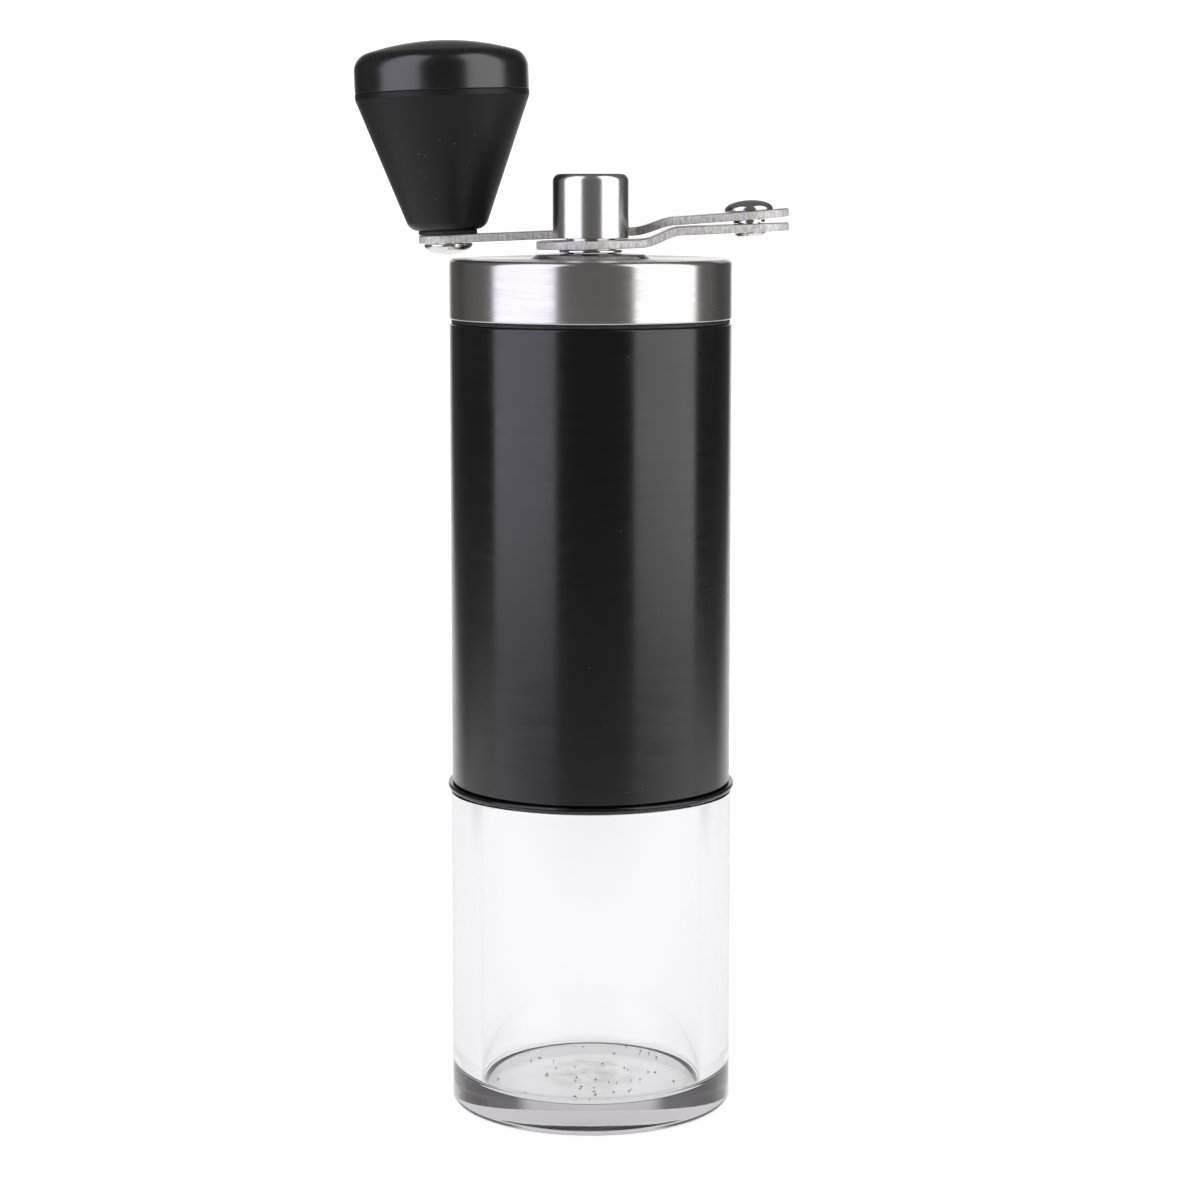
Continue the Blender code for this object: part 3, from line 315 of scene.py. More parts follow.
class Sheet:
    """A material's nodes, with short ways to add and join them."""

    def __init__(self, name: str) -> None:
        """An empty Principled material of that name."""
        self.material = bpy.data.materials.new(name)
        self.material.use_nodes = True
        self.tree = self.material.node_tree
        self.shader = self.tree.nodes["Principled BSDF"]

    def add(self, kind: str, inputs: dict[Any, Any] | None = None, **settings: Any) -> bpy.types.Node:
        """Add a node.

        Args:
            kind: The node's type name.
            inputs: Values, or sockets to join, by input name or number.
            settings: The node's own properties.

        Returns:
            The node.
        """
        node = self.tree.nodes.new(kind)
        for key, value in settings.items():
            setattr(node, key, value)
        self.feed(node, inputs or {})
        return node

    def feed(self, node: bpy.types.Node, inputs: dict[Any, Any]) -> None:
        """Set or join a node's inputs."""
        for key, value in inputs.items():
            if isinstance(value, Socket):
                self.tree.links.new(value, node.inputs[key])
            else:
                node.inputs[key].default_value = value

    def shade(self, **inputs: Any) -> None:
        """Set or join the shader's inputs; an underscore stands for a space."""
        self.feed(self.shader, {key.replace("_", " "): value for key, value in inputs.items()})

    def math(self, operation: str, a: Any, b: Any = 0.0) -> Socket:
        """The result of one sum on two numbers or sockets."""
        return self.add("ShaderNodeMath", {0: a, 1: b}, operation=operation).outputs[0]

    def ramp(self, value: Socket, low: float, high: float, to_low: float, to_high: float) -> Socket:
        """A number moved from one span to another, and held at its ends."""
        spans = {"Value": value, "From Min": low, "From Max": high, "To Min": to_low, "To Max": to_high}
        return self.add("ShaderNodeMapRange", spans).outputs["Result"]

    def place(self, stand: Stand = UPRIGHT) -> Socket:
        """Object coordinates on a piece's own axis.

        Args:
            stand: Where that axis stands.

        Returns:
            The coordinates, moved and turned upright.
        """
        read = self.add("ShaderNodeTexCoord").outputs["Object"]
        if stand == UPRIGHT:
            return read
        return self.add("ShaderNodeMapping", {"Vector": read, "Location": stand.at,
                                              "Rotation": (0.0, -stand.lean, 0.0)},
                        vector_type="TEXTURE").outputs[0]

    def noise(self, vector: Socket, scale: float, detail: float = 2.0, rough: float = 0.5) -> Socket:
        """Fractal noise from 0 to 1 with a cell of 1 / scale metres."""
        return self.add("ShaderNodeTexNoise", {"Vector": vector, "Scale": scale, "Detail": detail,
                                               "Roughness": rough}).outputs[0]

    def tint(self, amount: Socket, low: Sequence[float], high: Sequence[float]) -> Socket:
        """A colour between two, by an amount from 0 to 1."""
        mixed = self.add("ShaderNodeMix", {0: amount}, data_type="RGBA")
        mixed.inputs[6].default_value = (*low, 1.0)
        mixed.inputs[7].default_value = (*high, 1.0)
        return mixed.outputs[2]

    def bump(self, height: Socket, depth: float, under: Socket | None = None) -> Socket:
        """A normal tilted by a height from 0 to 1 that stands for that depth in metres."""
        node = self.add("ShaderNodeBump", {"Height": height, "Distance": depth, "Strength": 1.0})
        if under is not None:
            self.feed(node, {"Normal": under})
        return node.outputs[0]

    def flecks(self, at: Socket, cell: float, size: float, share: float) -> Socket:
        """Dust: one speck in some cells of a Voronoi pattern.

        A speck is where the distance to the cell's own point is under size, and the cell's
        random number is above 1 - share.

        Args:
            at: Coordinates.
            cell: The cells' size in metres.
            size: A speck's radius as a part of a cell.
            share: The part of the cells that hold a speck.

        Returns:
            1 in a speck and 0 outside it.
        """
        cells = self.add("ShaderNodeTexVoronoi", {"Vector": at, "Scale": 1.0 / cell}).outputs
        chance = self.add("ShaderNodeSeparateColor", {0: cells["Color"]}).outputs[0]
        near = self.ramp(cells["Distance"], size, 0.6 * size, 0.0, 1.0)
        return self.math("MULTIPLY", near, self.math("GREATER_THAN", chance, 1.0 - share))

    def dusted(self, colour: Socket, at: Socket, share: float, dust: Sequence[float]) -> Socket:
        """A colour with tiny specks of dust on it, in that share of the cells."""
        fleck = self.flecks(at, DUST_CELL, DUST_SIZE, share)
        mixed = self.add("ShaderNodeMix", {0: fleck, 6: colour, 7: (*dust, 1.0)}, data_type="RGBA")
        return mixed.outputs[2]

    def rings(self, at: Socket, width: float, turns: float, detail: float = 2.0) -> Socket:
        """Grain that runs round an axis.

        The noise is read at (turns cos a, turns sin a, (radius + height) / width), so it changes
        fast across the grain and slowly round it.

        Args:
            at: Coordinates on the axis.
            width: The grain's width in metres.
            turns: How often the grain breaks on its way round.
            detail: Octaves of finer grain.

        Returns:
            Noise from 0 to 1.
        """
        parts = self.add("ShaderNodeSeparateXYZ", {0: at}).outputs
        flat = self.add("ShaderNodeCombineXYZ", {0: parts[0], 1: parts[1]}).outputs[0]
        radius = self.add("ShaderNodeVectorMath", {0: flat}, operation="LENGTH").outputs["Value"]
        heading = self.add("ShaderNodeVectorMath", {0: flat}, operation="NORMALIZE").outputs[0]
        round_it = self.add("ShaderNodeVectorMath", {0: heading, 1: (turns,) * 3},
                            operation="MULTIPLY").outputs[0]
        turn = self.add("ShaderNodeSeparateXYZ", {0: round_it}).outputs
        across = self.math("DIVIDE", self.math("ADD", radius, parts[2]), width)
        read = self.add("ShaderNodeCombineXYZ", {0: turn[0], 1: turn[1], 2: across}).outputs[0]
        return self.noise(read, 1.0, detail, 0.6)


@dataclass(frozen=True)
class TurnedMetal:
    """Metal with fine grain round its axis: brushed, turned or polished by its numbers."""

    name: str
    colour: tuple[float, float, float]
    dull: tuple[float, float, float]
    roughness: tuple[float, float]
    grain: float
    turns: float
    relief: float
    anisotropy: float = 0.0
    metallic: float = 1.0
    cloud: float = 120.0
    specks: float = 0.0
    bend: float = 1.5

    def material(self, stand: Stand = UPRIGHT) -> bpy.types.Material:
        """The finish on one axis.

        Args:
            stand: Where the piece's axis stands.

        Returns:
            A new material.
        """
        sheet = Sheet(self.name)
        at = sheet.place(stand)
        fine = sheet.rings(at, self.grain, self.turns)
        broad = sheet.rings(at, self.grain * 9.0, self.turns * 0.5)
        cloud = sheet.noise(at, self.cloud, 3.0)
        worn = sheet.math("MULTIPLY", sheet.math("ADD", fine, broad), 0.5)
        wear = sheet.math("ADD", sheet.math("MULTIPLY", worn, 0.8), sheet.math("MULTIPLY", cloud, 0.2))
        tone = sheet.ramp(wear, 0.34, 0.66, 0.0, 1.0)
        colour = sheet.tint(tone, self.dull, self.colour)
        rough = sheet.ramp(wear, 0.34, 0.66, self.roughness[1], self.roughness[0])
        if self.specks > 0.0:
            colour = sheet.dusted(colour, at, self.specks, (0.07, 0.065, 0.06))
        sheet.shade(Base_Color=colour, Metallic=self.metallic, Roughness=rough,
                    Anisotropic=self.anisotropy, Anisotropic_Rotation=0.25, IOR=self.bend,
                    Normal=sheet.bump(worn, self.relief))
        return sheet.material


@dataclass(frozen=True)
class MouldedPlastic:
    """Opaque moulded plastic or rubber: a fine grain, a faint mottle and its own gloss."""

    name: str
    colour: tuple[float, float, float]
    mottle: tuple[float, float, float]
    roughness: tuple[float, float]
    grain: float = 2500.0
    relief: float = 0.004 * MM
    bend: float = 1.5
    specks: float = 0.0

    def material(self, stand: Stand = UPRIGHT) -> bpy.types.Material:
        """The finish on one axis.

        Args:
            stand: Where the piece's axis stands.

        Returns:
            A new material.
        """
        sheet = Sheet(self.name)
        at = sheet.place(stand)
        cloud = sheet.noise(at, 90.0, 3.0)
        grain = sheet.noise(at, self.grain, 3.0, 0.65)
        colour = sheet.tint(sheet.ramp(cloud, 0.35, 0.65, 0.0, 1.0), self.mottle, self.colour)
        if self.specks > 0.0:
            colour = sheet.dusted(colour, at, self.specks, (0.1, 0.095, 0.09))
        rough = sheet.ramp(sheet.math("ADD", cloud, grain), 0.8, 1.2, *self.roughness)
        sheet.shade(Base_Color=colour, Roughness=rough, IOR=self.bend,
                    Normal=sheet.bump(grain, self.relief))
        return sheet.material


@dataclass(frozen=True)
class ClearPlastic:
    """Clear plastic with hairline scratches, a little haze and a coffee stain on the floor.

    Light also fades with its way through the plastic, which greys the thick base.
    """

    name: str
    tint: tuple[float, float, float] = (0.985, 0.99, 0.99)
    bend: float = 1.49
    floor: float = 4.5 * MM
    stain: tuple[float, float, float] = (0.27, 0.13, 0.055)
    depth: tuple[float, float, float, float] = (0.06, 0.0, 0.06, 1.0)
    density: float = 13.0

    def material(self, stand: Stand = UPRIGHT) -> bpy.types.Material:
        """The finish on one axis, with its stain at the jar's inner floor.

        Args:
            stand: Where the piece's axis stands.

        Returns:
            A new material.
        """
        sheet = Sheet(self.name)
        at = sheet.place(stand)
        scratches = sheet.rings(at, 0.9 * MM, 7.0)
        haze = sheet.noise(at, 70.0, 4.0)
        rough = sheet.ramp(sheet.math("ADD", scratches, haze), 0.9, 1.35, 0.0, 0.05)
        parts = sheet.add("ShaderNodeSeparateXYZ", {0: at}).outputs
        flat = sheet.add("ShaderNodeCombineXYZ", {0: parts[0], 1: parts[1]}).outputs[0]
        radius = sheet.add("ShaderNodeVectorMath", {0: flat}, operation="LENGTH").outputs["Value"]
        low = sheet.ramp(parts[2], self.floor + 0.2 * MM, self.floor + 0.05 * MM, 0.0, 1.0)
        high = sheet.ramp(parts[2], self.floor - 0.3 * MM, self.floor - 0.1 * MM, 0.0, 1.0)
        middle = sheet.ramp(radius, 11.0 * MM, 3.0 * MM, 0.0, 1.0)
        blot = sheet.ramp(sheet.noise(at, 240.0, 5.0, 0.6), 0.4, 0.75, 0.05, 0.6)
        mask = sheet.math("MULTIPLY", sheet.math("MULTIPLY", low, high),
                          sheet.math("MULTIPLY", middle, blot))
        colour = sheet.tint(mask, self.tint, self.stain)
        clear = sheet.math("SUBTRACT", 1.0, mask)
        deep = sheet.add("ShaderNodeVolumeAbsorption", {"Color": self.depth, "Density": self.density})
        sheet.feed(sheet.tree.nodes["Material Output"], {"Volume": deep.outputs[0]})
        sheet.shade(Base_Color=colour, Roughness=rough, IOR=self.bend, Transmission_Weight=clear,
                    Normal=sheet.bump(scratches, 0.0004 * MM))
        return sheet.material


@dataclass(frozen=True)
class ShearedPlate:
    """Plate stock: polished faces with faint lengthwise grain, and coarse sheared edges."""

    name: str
    face: tuple[float, float, float]
    edge: tuple[float, float, float]
    roughness: tuple[float, float] = (0.12, 0.62)

    def material(self) -> bpy.types.Material:
        """The finish; the mesh's "edge" numbers say where the edges are.

        Returns:
            A new material.
        """
        sheet = Sheet(self.name)
        at = sheet.place()
        edge = sheet.add("ShaderNodeAttribute", attribute_name="edge").outputs["Fac"]
        along = sheet.add("ShaderNodeVectorMath", {0: at, 1: (60.0, 900.0, 900.0)},
                          operation="MULTIPLY").outputs[0]
        lines = sheet.noise(along, 1.0, 3.0)
        upright = sheet.add("ShaderNodeVectorMath", {0: at, 1: (2600.0, 2600.0, 900.0)},
                            operation="MULTIPLY").outputs[0]
        torn = sheet.noise(upright, 1.0, 4.0, 0.7)
        handled = sheet.noise(at, 180.0, 4.0)
        face_tone = sheet.tint(sheet.ramp(lines, 0.3, 0.7, 0.0, 1.0),
                               [c * 0.86 for c in self.face], self.face)
        edge_tone = sheet.tint(sheet.ramp(torn, 0.3, 0.7, 0.0, 1.0),
                               [c * 0.5 for c in self.edge], self.edge)
        colour = sheet.add("ShaderNodeMix", {0: edge, 6: face_tone, 7: edge_tone},
                           data_type="RGBA").outputs[2]
        face_rough = sheet.ramp(handled, 0.35, 0.65, self.roughness[0], self.roughness[0] + 0.12)
        edge_rough = sheet.ramp(torn, 0.3, 0.7, self.roughness[1] + 0.15, self.roughness[1] - 0.08)
        rough = sheet.add("ShaderNodeMix", {0: edge, 2: face_rough, 3: edge_rough}).outputs[0]
        torn_height = sheet.math("MULTIPLY", torn, edge)
        normal = sheet.bump(torn_height, 0.022 * MM, sheet.bump(lines, 0.0006 * MM))
        sheet.shade(Base_Color=colour, Metallic=sheet.ramp(edge, 0.0, 1.0, 1.0, 0.5), Roughness=rough,
                    Normal=normal)
        return sheet.material


@dataclass(frozen=True)
class Ceramic:
    """Unglazed burr ceramic: off-white, finely grained, with coffee oil in its hollows."""

    name: str
    colour: tuple[float, float, float] = (0.86, 0.85, 0.81)
    oil: tuple[float, float, float] = (0.5, 0.38, 0.26)

    def material(self) -> bpy.types.Material:
        """The finish.

        Returns:
            A new material.
        """
        sheet = Sheet(self.name)
        at = sheet.place()
        stain = sheet.noise(at, 160.0, 5.0, 0.65)
        grain = sheet.noise(at, 3500.0, 2.0)
        sheet.shade(Base_Color=sheet.tint(sheet.ramp(stain, 0.5, 0.85, 0.0, 0.7), self.colour, self.oil),
                    Roughness=sheet.ramp(grain, 0.3, 0.7, 0.38, 0.58), IOR=1.6,
                    Normal=sheet.bump(grain, 0.01 * MM))
        return sheet.material


BRUSHED_STEEL = TurnedMetal("brushed_steel", (0.655, 0.64, 0.625), (0.56, 0.547, 0.535), (0.2, 0.28),
                            0.11 * MM, 5.0, 0.0007 * MM, 0.7)
SATIN_BLACK = TurnedMetal("satin_black", (0.002, 0.002, 0.0022), (0.0012, 0.0012, 0.0014), (0.17, 0.26),
                          0.16 * MM, 4.0, 0.0022 * MM, 0.5, 0.0, 80.0, 0.12, 1.6)
POLISHED_STEEL = TurnedMetal("polished_steel", (0.76, 0.75, 0.74), (0.64, 0.63, 0.62), (0.13, 0.2),
                             0.2 * MM, 3.0, 0.0005 * MM, 0.3)
POST_STEEL = TurnedMetal("satin_post_steel", (0.76, 0.75, 0.74), (0.66, 0.65, 0.64), (0.2, 0.26),
                         0.2 * MM, 3.0, 0.0004 * MM, 0.3)
TURNED_BRASS = TurnedMetal("turned_brass", (0.78, 0.6, 0.3), (0.55, 0.4, 0.18), (0.2, 0.38),
                           0.14 * MM, 3.0, 0.003 * MM, 0.4)
GLOSS_BLACK = MouldedPlastic("gloss_black", (0.004, 0.004, 0.0045), (0.003, 0.003, 0.0035), (0.06, 0.1),
                             1200.0, 0.0008 * MM, 1.5, 0.1)
CAP_BLACK = MouldedPlastic("satin_cap_black", (0.002, 0.002, 0.0022), (0.0015, 0.0015, 0.0017),
                           (0.22, 0.28), 1500.0, 0.001 * MM, 1.74, 0.3)
KNOB_BLACK = MouldedPlastic("soft_touch_black", (0.0045, 0.0043, 0.0044), (0.0034, 0.0033, 0.0034),
                            (0.38, 0.48), 3000.0, 0.006 * MM, 1.4, 0.3)
SOFT_BLACK = MouldedPlastic("soft_black", (0.02, 0.02, 0.021), (0.012, 0.012, 0.012), (0.45, 0.65))
COFFEE = MouldedPlastic("ground_coffee", (0.05, 0.024, 0.012), (0.02, 0.01, 0.006), (0.5, 0.7), 6000.0,
                        0.02 * MM)
WHITE_NYLON = MouldedPlastic("white_nylon", (0.82, 0.81, 0.77), (0.72, 0.7, 0.64), (0.4, 0.6))
SILICONE = MouldedPlastic("silicone", (0.09, 0.09, 0.092), (0.06, 0.06, 0.06), (0.55, 0.75), 1800.0)
ARM_STEEL = ShearedPlate("arm_steel", (0.68, 0.66, 0.64), (0.92, 0.9, 0.87))
BURR_CERAMIC = Ceramic("burr_ceramic")
CLEAR_PLASTIC = ClearPlastic("clear_plastic")


# --------------------------------------------------------------- jar and body

@dataclass
class Jar:
    """Thick clear jar: straight wall, filleted floor, stepped neck with a ring groove."""

    bore: float = 20.0 * MM
    floor: float = 4.5 * MM
    shoulder: float = 57.65 * MM
    neck: float = 22.5 * MM
    groove: tuple[float, float, float] = (21.5 * MM, 61.6 * MM, 63.0 * MM)

    def profile(self) -> Array:
        """The section: under the foot, up the outside, over the rim, down the bore, across the floor."""
        low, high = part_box("jar")
        outside, top = high.x, high.z
        ring, ring_bottom, ring_top = self.groove
        corners = [(0.0, low.z, 0.0), (outside, low.z, 1.1 * MM), (outside, self.shoulder, 0.35 * MM),
                   (self.neck, self.shoulder, 0.2 * MM), (self.neck, ring_bottom, 0.1 * MM),
                   (ring, ring_bottom, 0.1 * MM), (ring, ring_top, 0.1 * MM), (self.neck, ring_top, 0.1 * MM),
                   (self.neck, top, 0.5 * MM), (self.bore, top, 0.5 * MM), (self.bore, self.floor, 1.7 * MM),
                   (0.0, self.floor, 0.0)]
        return rounded(corners, 8)

    def build(self) -> None:
        """Make the jar and the coffee left in it."""
        Piece("jar_clear", "jar", "clear_plastic", ("jar",)).turn(self.profile(), 192, CLEAR_PLASTIC)
        Grounds().build(self.floor, self.bore)


@dataclass
class Grounds:
    """A few grains of ground coffee on the jar's floor.

    Each grain is a small sphere, stretched along three axes and dented by a sum of sines.
    """

    count: int = 46
    size: tuple[float, float] = (0.12 * MM, 0.27 * MM)
    seed: int = 7

    def surface(self, floor: float, bore: float) -> tuple[Array, Array]:
        """All the grains as one surface.

        Args:
            floor: Height of the jar's inner floor.
            bore: Radius of the jar's bore.

        Returns:
            Points and quads.
        """
        dice = np.random.default_rng(self.seed)
        ball, quads = turned(arc((0.0, 0.0), 1.0, 90.0, -90.0, 6), 9)
        stretch = dice.uniform(self.size[0], self.size[1], (self.count, 1, 3)) * (1.0, 1.0, 0.6)
        phase = dice.uniform(0.0, math.tau, (self.count, 1, 3))
        dent = 1.0 + 0.12 * np.sin(3.0 * ball[None] + phase).sum(axis=2, keepdims=True)
        grains = ball[None] * stretch * dent
        angle = dice.uniform(0.0, math.tau, self.count)
        reach = (bore - 1.6 * MM) * np.sqrt(dice.uniform(0.02, 1.0, self.count))
        height = floor + 1.35 * stretch[:, 0, 2]
        grains += np.column_stack([reach * np.cos(angle), reach * np.sin(angle), height])[:, None]
        start = (np.arange(self.count) * len(ball))[:, None, None]
        return grains.reshape(-1, 3), (quads[None] + start).reshape(-1, 4)

    def build(self, floor: float, bore: float) -> None:
        """Scatter the grains in the jar."""
        Piece("coffee_grains", "jar", "", ()).build(self.surface(floor, bore), COFFEE.material())


@dataclass
class Body:
    """Black tube and the lipped collar at its foot."""

    wall: float = 1.0 * MM
    edge: float = 0.32 * MM
    sleeve: float = 23.7 * MM
    lip: float = 1.0 * MM
    collar_bore: float = 22.9 * MM

    def build(self) -> None:
        """Make the tube and the collar."""
        low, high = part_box("body_tube")
        outside = high.x
        inside = outside - self.wall
        tube = loop([(outside, (low.z + high.z) / 2, 0.0), (outside, low.z, 0.1 * MM),
                     (inside, low.z, 0.1 * MM), (inside, high.z, 0.12 * MM), (outside, high.z, self.edge)])
        Piece("tube", "body", "satin_black", ("body_tube",)).turn(tube, 192, SATIN_BLACK)
        low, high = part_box("jar_collar")
        outside, lip_top = high.x, low.z + self.lip
        collar = loop([(outside, low.z + self.lip / 2, 0.0), (outside, low.z, 0.38 * MM),
                       (self.collar_bore, low.z, 0.15 * MM), (self.collar_bore, high.z, 0.15 * MM),
                       (self.sleeve, high.z, 0.2 * MM), (self.sleeve, lip_top, 0.0),
                       (outside, lip_top, 0.38 * MM)], 6, 0.05 * MM)
        Piece("collar", "body", "gloss_black", ("jar_collar",)).turn(collar, 192, GLOSS_BLACK)


@dataclass
class Lid:
    """Brushed cap with a rounded rim, a rolled lower edge and a low conical boss."""

    edge: float = 0.95 * MM
    wall: float = 0.8 * MM
    boss: float = 10.8 * MM
    rim_top: float = 152.65 * MM
    hole: float = 4.4 * MM

    def build(self) -> None:
        """Make the cap."""
        low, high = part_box("lid_shell")
        outside, inside, ceiling = high.x, high.x - self.wall, self.rim_top - self.wall
        middle = (low.z + self.rim_top) / 2
        cap = loop([(outside, middle, 0.0), (outside, low.z, 0.3 * MM), (inside, low.z, 0.2 * MM),
                    (inside, ceiling, 0.6 * MM), (self.hole, ceiling, 0.1 * MM),
                    (self.hole, high.z, 0.15 * MM), (self.boss - 1.1 * MM, high.z - 0.15 * MM, 0.7 * MM),
                    (self.boss, self.rim_top + 0.04 * MM, 0.35 * MM), (outside, self.rim_top, self.edge)], 8)
        Piece("cap", "lid", "brushed_steel", ("lid_shell",)).turn(cap, 192, BRUSHED_STEEL)


# --------------------------------------------------------------- crank

@dataclass
class Strap:
    """A bent flat arm, carried round its own outline.

    The plan is a path with a width at each point and a round end past each of its two ends.
    Point (t, s) of the surface lies on the section at outline point t: s runs from the hole or
    the middle line along the underside, round the edge, and back along the top. The height of
    every point is the side view's height at its own x, and the plate's thickness is laid off
    square to the side view's slope.
    """

    path: Array
    widths: Array
    holes: tuple[float, float]
    heights: Callable[[Array], Array]
    plate: float = 1.5 * MM
    rolls: tuple[float, float] = (0.18 * MM, 0.42 * MM)
    hold: float = 0.15 * MM
    turn_steps: int = 28

    def outlines(self) -> tuple[Array, Array]:
        """The outer outline and the inner one that faces it, point for point.

        The inner one follows the rims of the two holes near the ends, and the middle line
        between them.
        """
        along = np.gradient(self.path, axis=0)
        along /= np.linalg.norm(along, axis=1)[:, None]
        across = np.column_stack([-along[:, 1], along[:, 0]])
        step = np.linalg.norm(np.diff(self.path, axis=0), axis=1)
        run = np.concatenate([[0.0], np.cumsum(step)])
        length = run[-1]
        near, far = 0.9 * self.widths[0], 0.9 * self.widths[-1]
        share = np.clip((run - near) / (length - near - far), 0.0, 1.0)
        inner_run = self.holes[0] + share * (length - self.holes[0] - self.holes[1])
        middle = np.column_stack([np.interp(inner_run, run, self.path[:, k]) for k in (0, 1)])
        start = np.clip(run / near, 0.0, 1.0) * math.pi / 2
        end = np.clip((length - run) / far, 0.0, 1.0) * math.pi / 2
        sides = []
        for sign in (1.0, -1.0):
            outer = self.path + sign * across * self.widths[:, None]
            by_start = self.path[0] + self.holes[0] * (np.sin(start)[:, None] * along[0]
                                                       + sign * np.cos(start)[:, None] * across[0])
            by_end = self.path[-1] + self.holes[1] * (-np.sin(end)[:, None] * along[-1]
                                                      + sign * np.cos(end)[:, None] * across[-1])
            inner = np.where((run < near)[:, None], by_start, middle)
            inner = np.where((run > length - far)[:, None], by_end, inner)
            sides.append((outer, inner))
        ends = [self.round_end(0, -along[0], self.widths[0], self.holes[0]),
                self.round_end(-1, along[-1], self.widths[-1], self.holes[1])]
        (left, left_in), (right, right_in) = sides
        outer = np.vstack([left[1:-1], ends[1][0][::-1], right[1:-1][::-1], ends[0][0][::-1]])
        inner = np.vstack([left_in[1:-1], ends[1][1][::-1], right_in[1:-1][::-1], ends[0][1][::-1]])
        return outer, inner

    def round_end(self, index: int, outward: Array, radius: float, hole: float) -> tuple[Array, Array]:
        """The half circle past one end of the path, and the half of its hole that faces it."""
        heading = math.atan2(outward[1], outward[0])
        angle = heading + np.linspace(-math.pi / 2, math.pi / 2, self.turn_steps + 1)
        rays = np.column_stack([np.cos(angle), np.sin(angle)])
        return self.path[index] + rays * radius, self.path[index] + rays * hole

    def surface(self) -> tuple[Array, Array, Array]:
        """Points, quads and the edge numbers of the whole plate.

        A row is the outline moved inwards by its inset and lifted by its rise: flat rows under
        the plate, a quarter turn round each of the two rolled edges, and flat rows on top.
        """
        outer, inner = self.outlines()
        reach = np.linalg.norm(inner - outer, axis=1)
        under, over = self.rolls
        half = self.plate / 2
        across = np.ones((1, len(reach)))
        flat = np.array([0.0, 0.3, 0.6, 0.85, 1.0])
        sine, cosine = (f(np.linspace(0.0, math.pi / 2, 6)) for f in (np.sin, np.cos))
        inset = np.vstack([reach * (1 - flat[:, None]) + (under + self.hold) * flat[:, None],
                           (under * (1 - sine))[:, None] * across,
                           (over * (1 - cosine))[:, None] * across,
                           (reach * (1 - flat[:, None]) + (over + self.hold) * flat[:, None])[::-1]])
        rise = np.concatenate([np.full(5, -half), under * (1 - cosine) - half,
                               half - over * (1 - sine), np.full(5, half)])
        edge = np.concatenate([np.zeros(5), 0.6 + 0.4 * sine, cosine ** 2, np.zeros(5)])
        share = np.clip(inset / reach, 0.0, 1.0)[..., None]
        plan = outer * (1 - share) + inner * share
        points = self.bend(plan, rise[:, None])
        rows, columns = inset.shape
        quads = grid_faces(rows, columns, False)
        at_hole = np.nonzero(self.on_hole(inner))[0]
        following = (at_hole + 1) % columns
        wall = np.isin(following, at_hole)
        first, last = at_hole[wall], following[wall]
        top = (rows - 1) * columns
        walls = np.column_stack([top + first, top + last, last, first])
        return points.reshape(-1, 3), np.vstack([quads, walls]), np.repeat(edge, columns)

    def on_hole(self, inner: Array) -> Array:
        """Which inner points lie on the rim of one of the two holes."""
        near = np.linalg.norm(inner - self.path[0], axis=1) < self.holes[0] + WELD
        far = np.linalg.norm(inner - self.path[-1], axis=1) < self.holes[1] + WELD
        return near | far

    def bend(self, plan: Array, rise: Array) -> Array:
        """Plan points lifted to the side view, with the thickness laid off square to it."""
        x = plan[..., 0]
        step = 0.01 * MM
        middle = self.heights(x)
        slope = (self.heights(x + step) - self.heights(x - step)) / (2 * step)
        scale = 1.0 / np.sqrt(1.0 + slope ** 2)
        return np.stack([x - slope * scale * rise, plan[..., 1], middle + scale * rise], axis=-1)


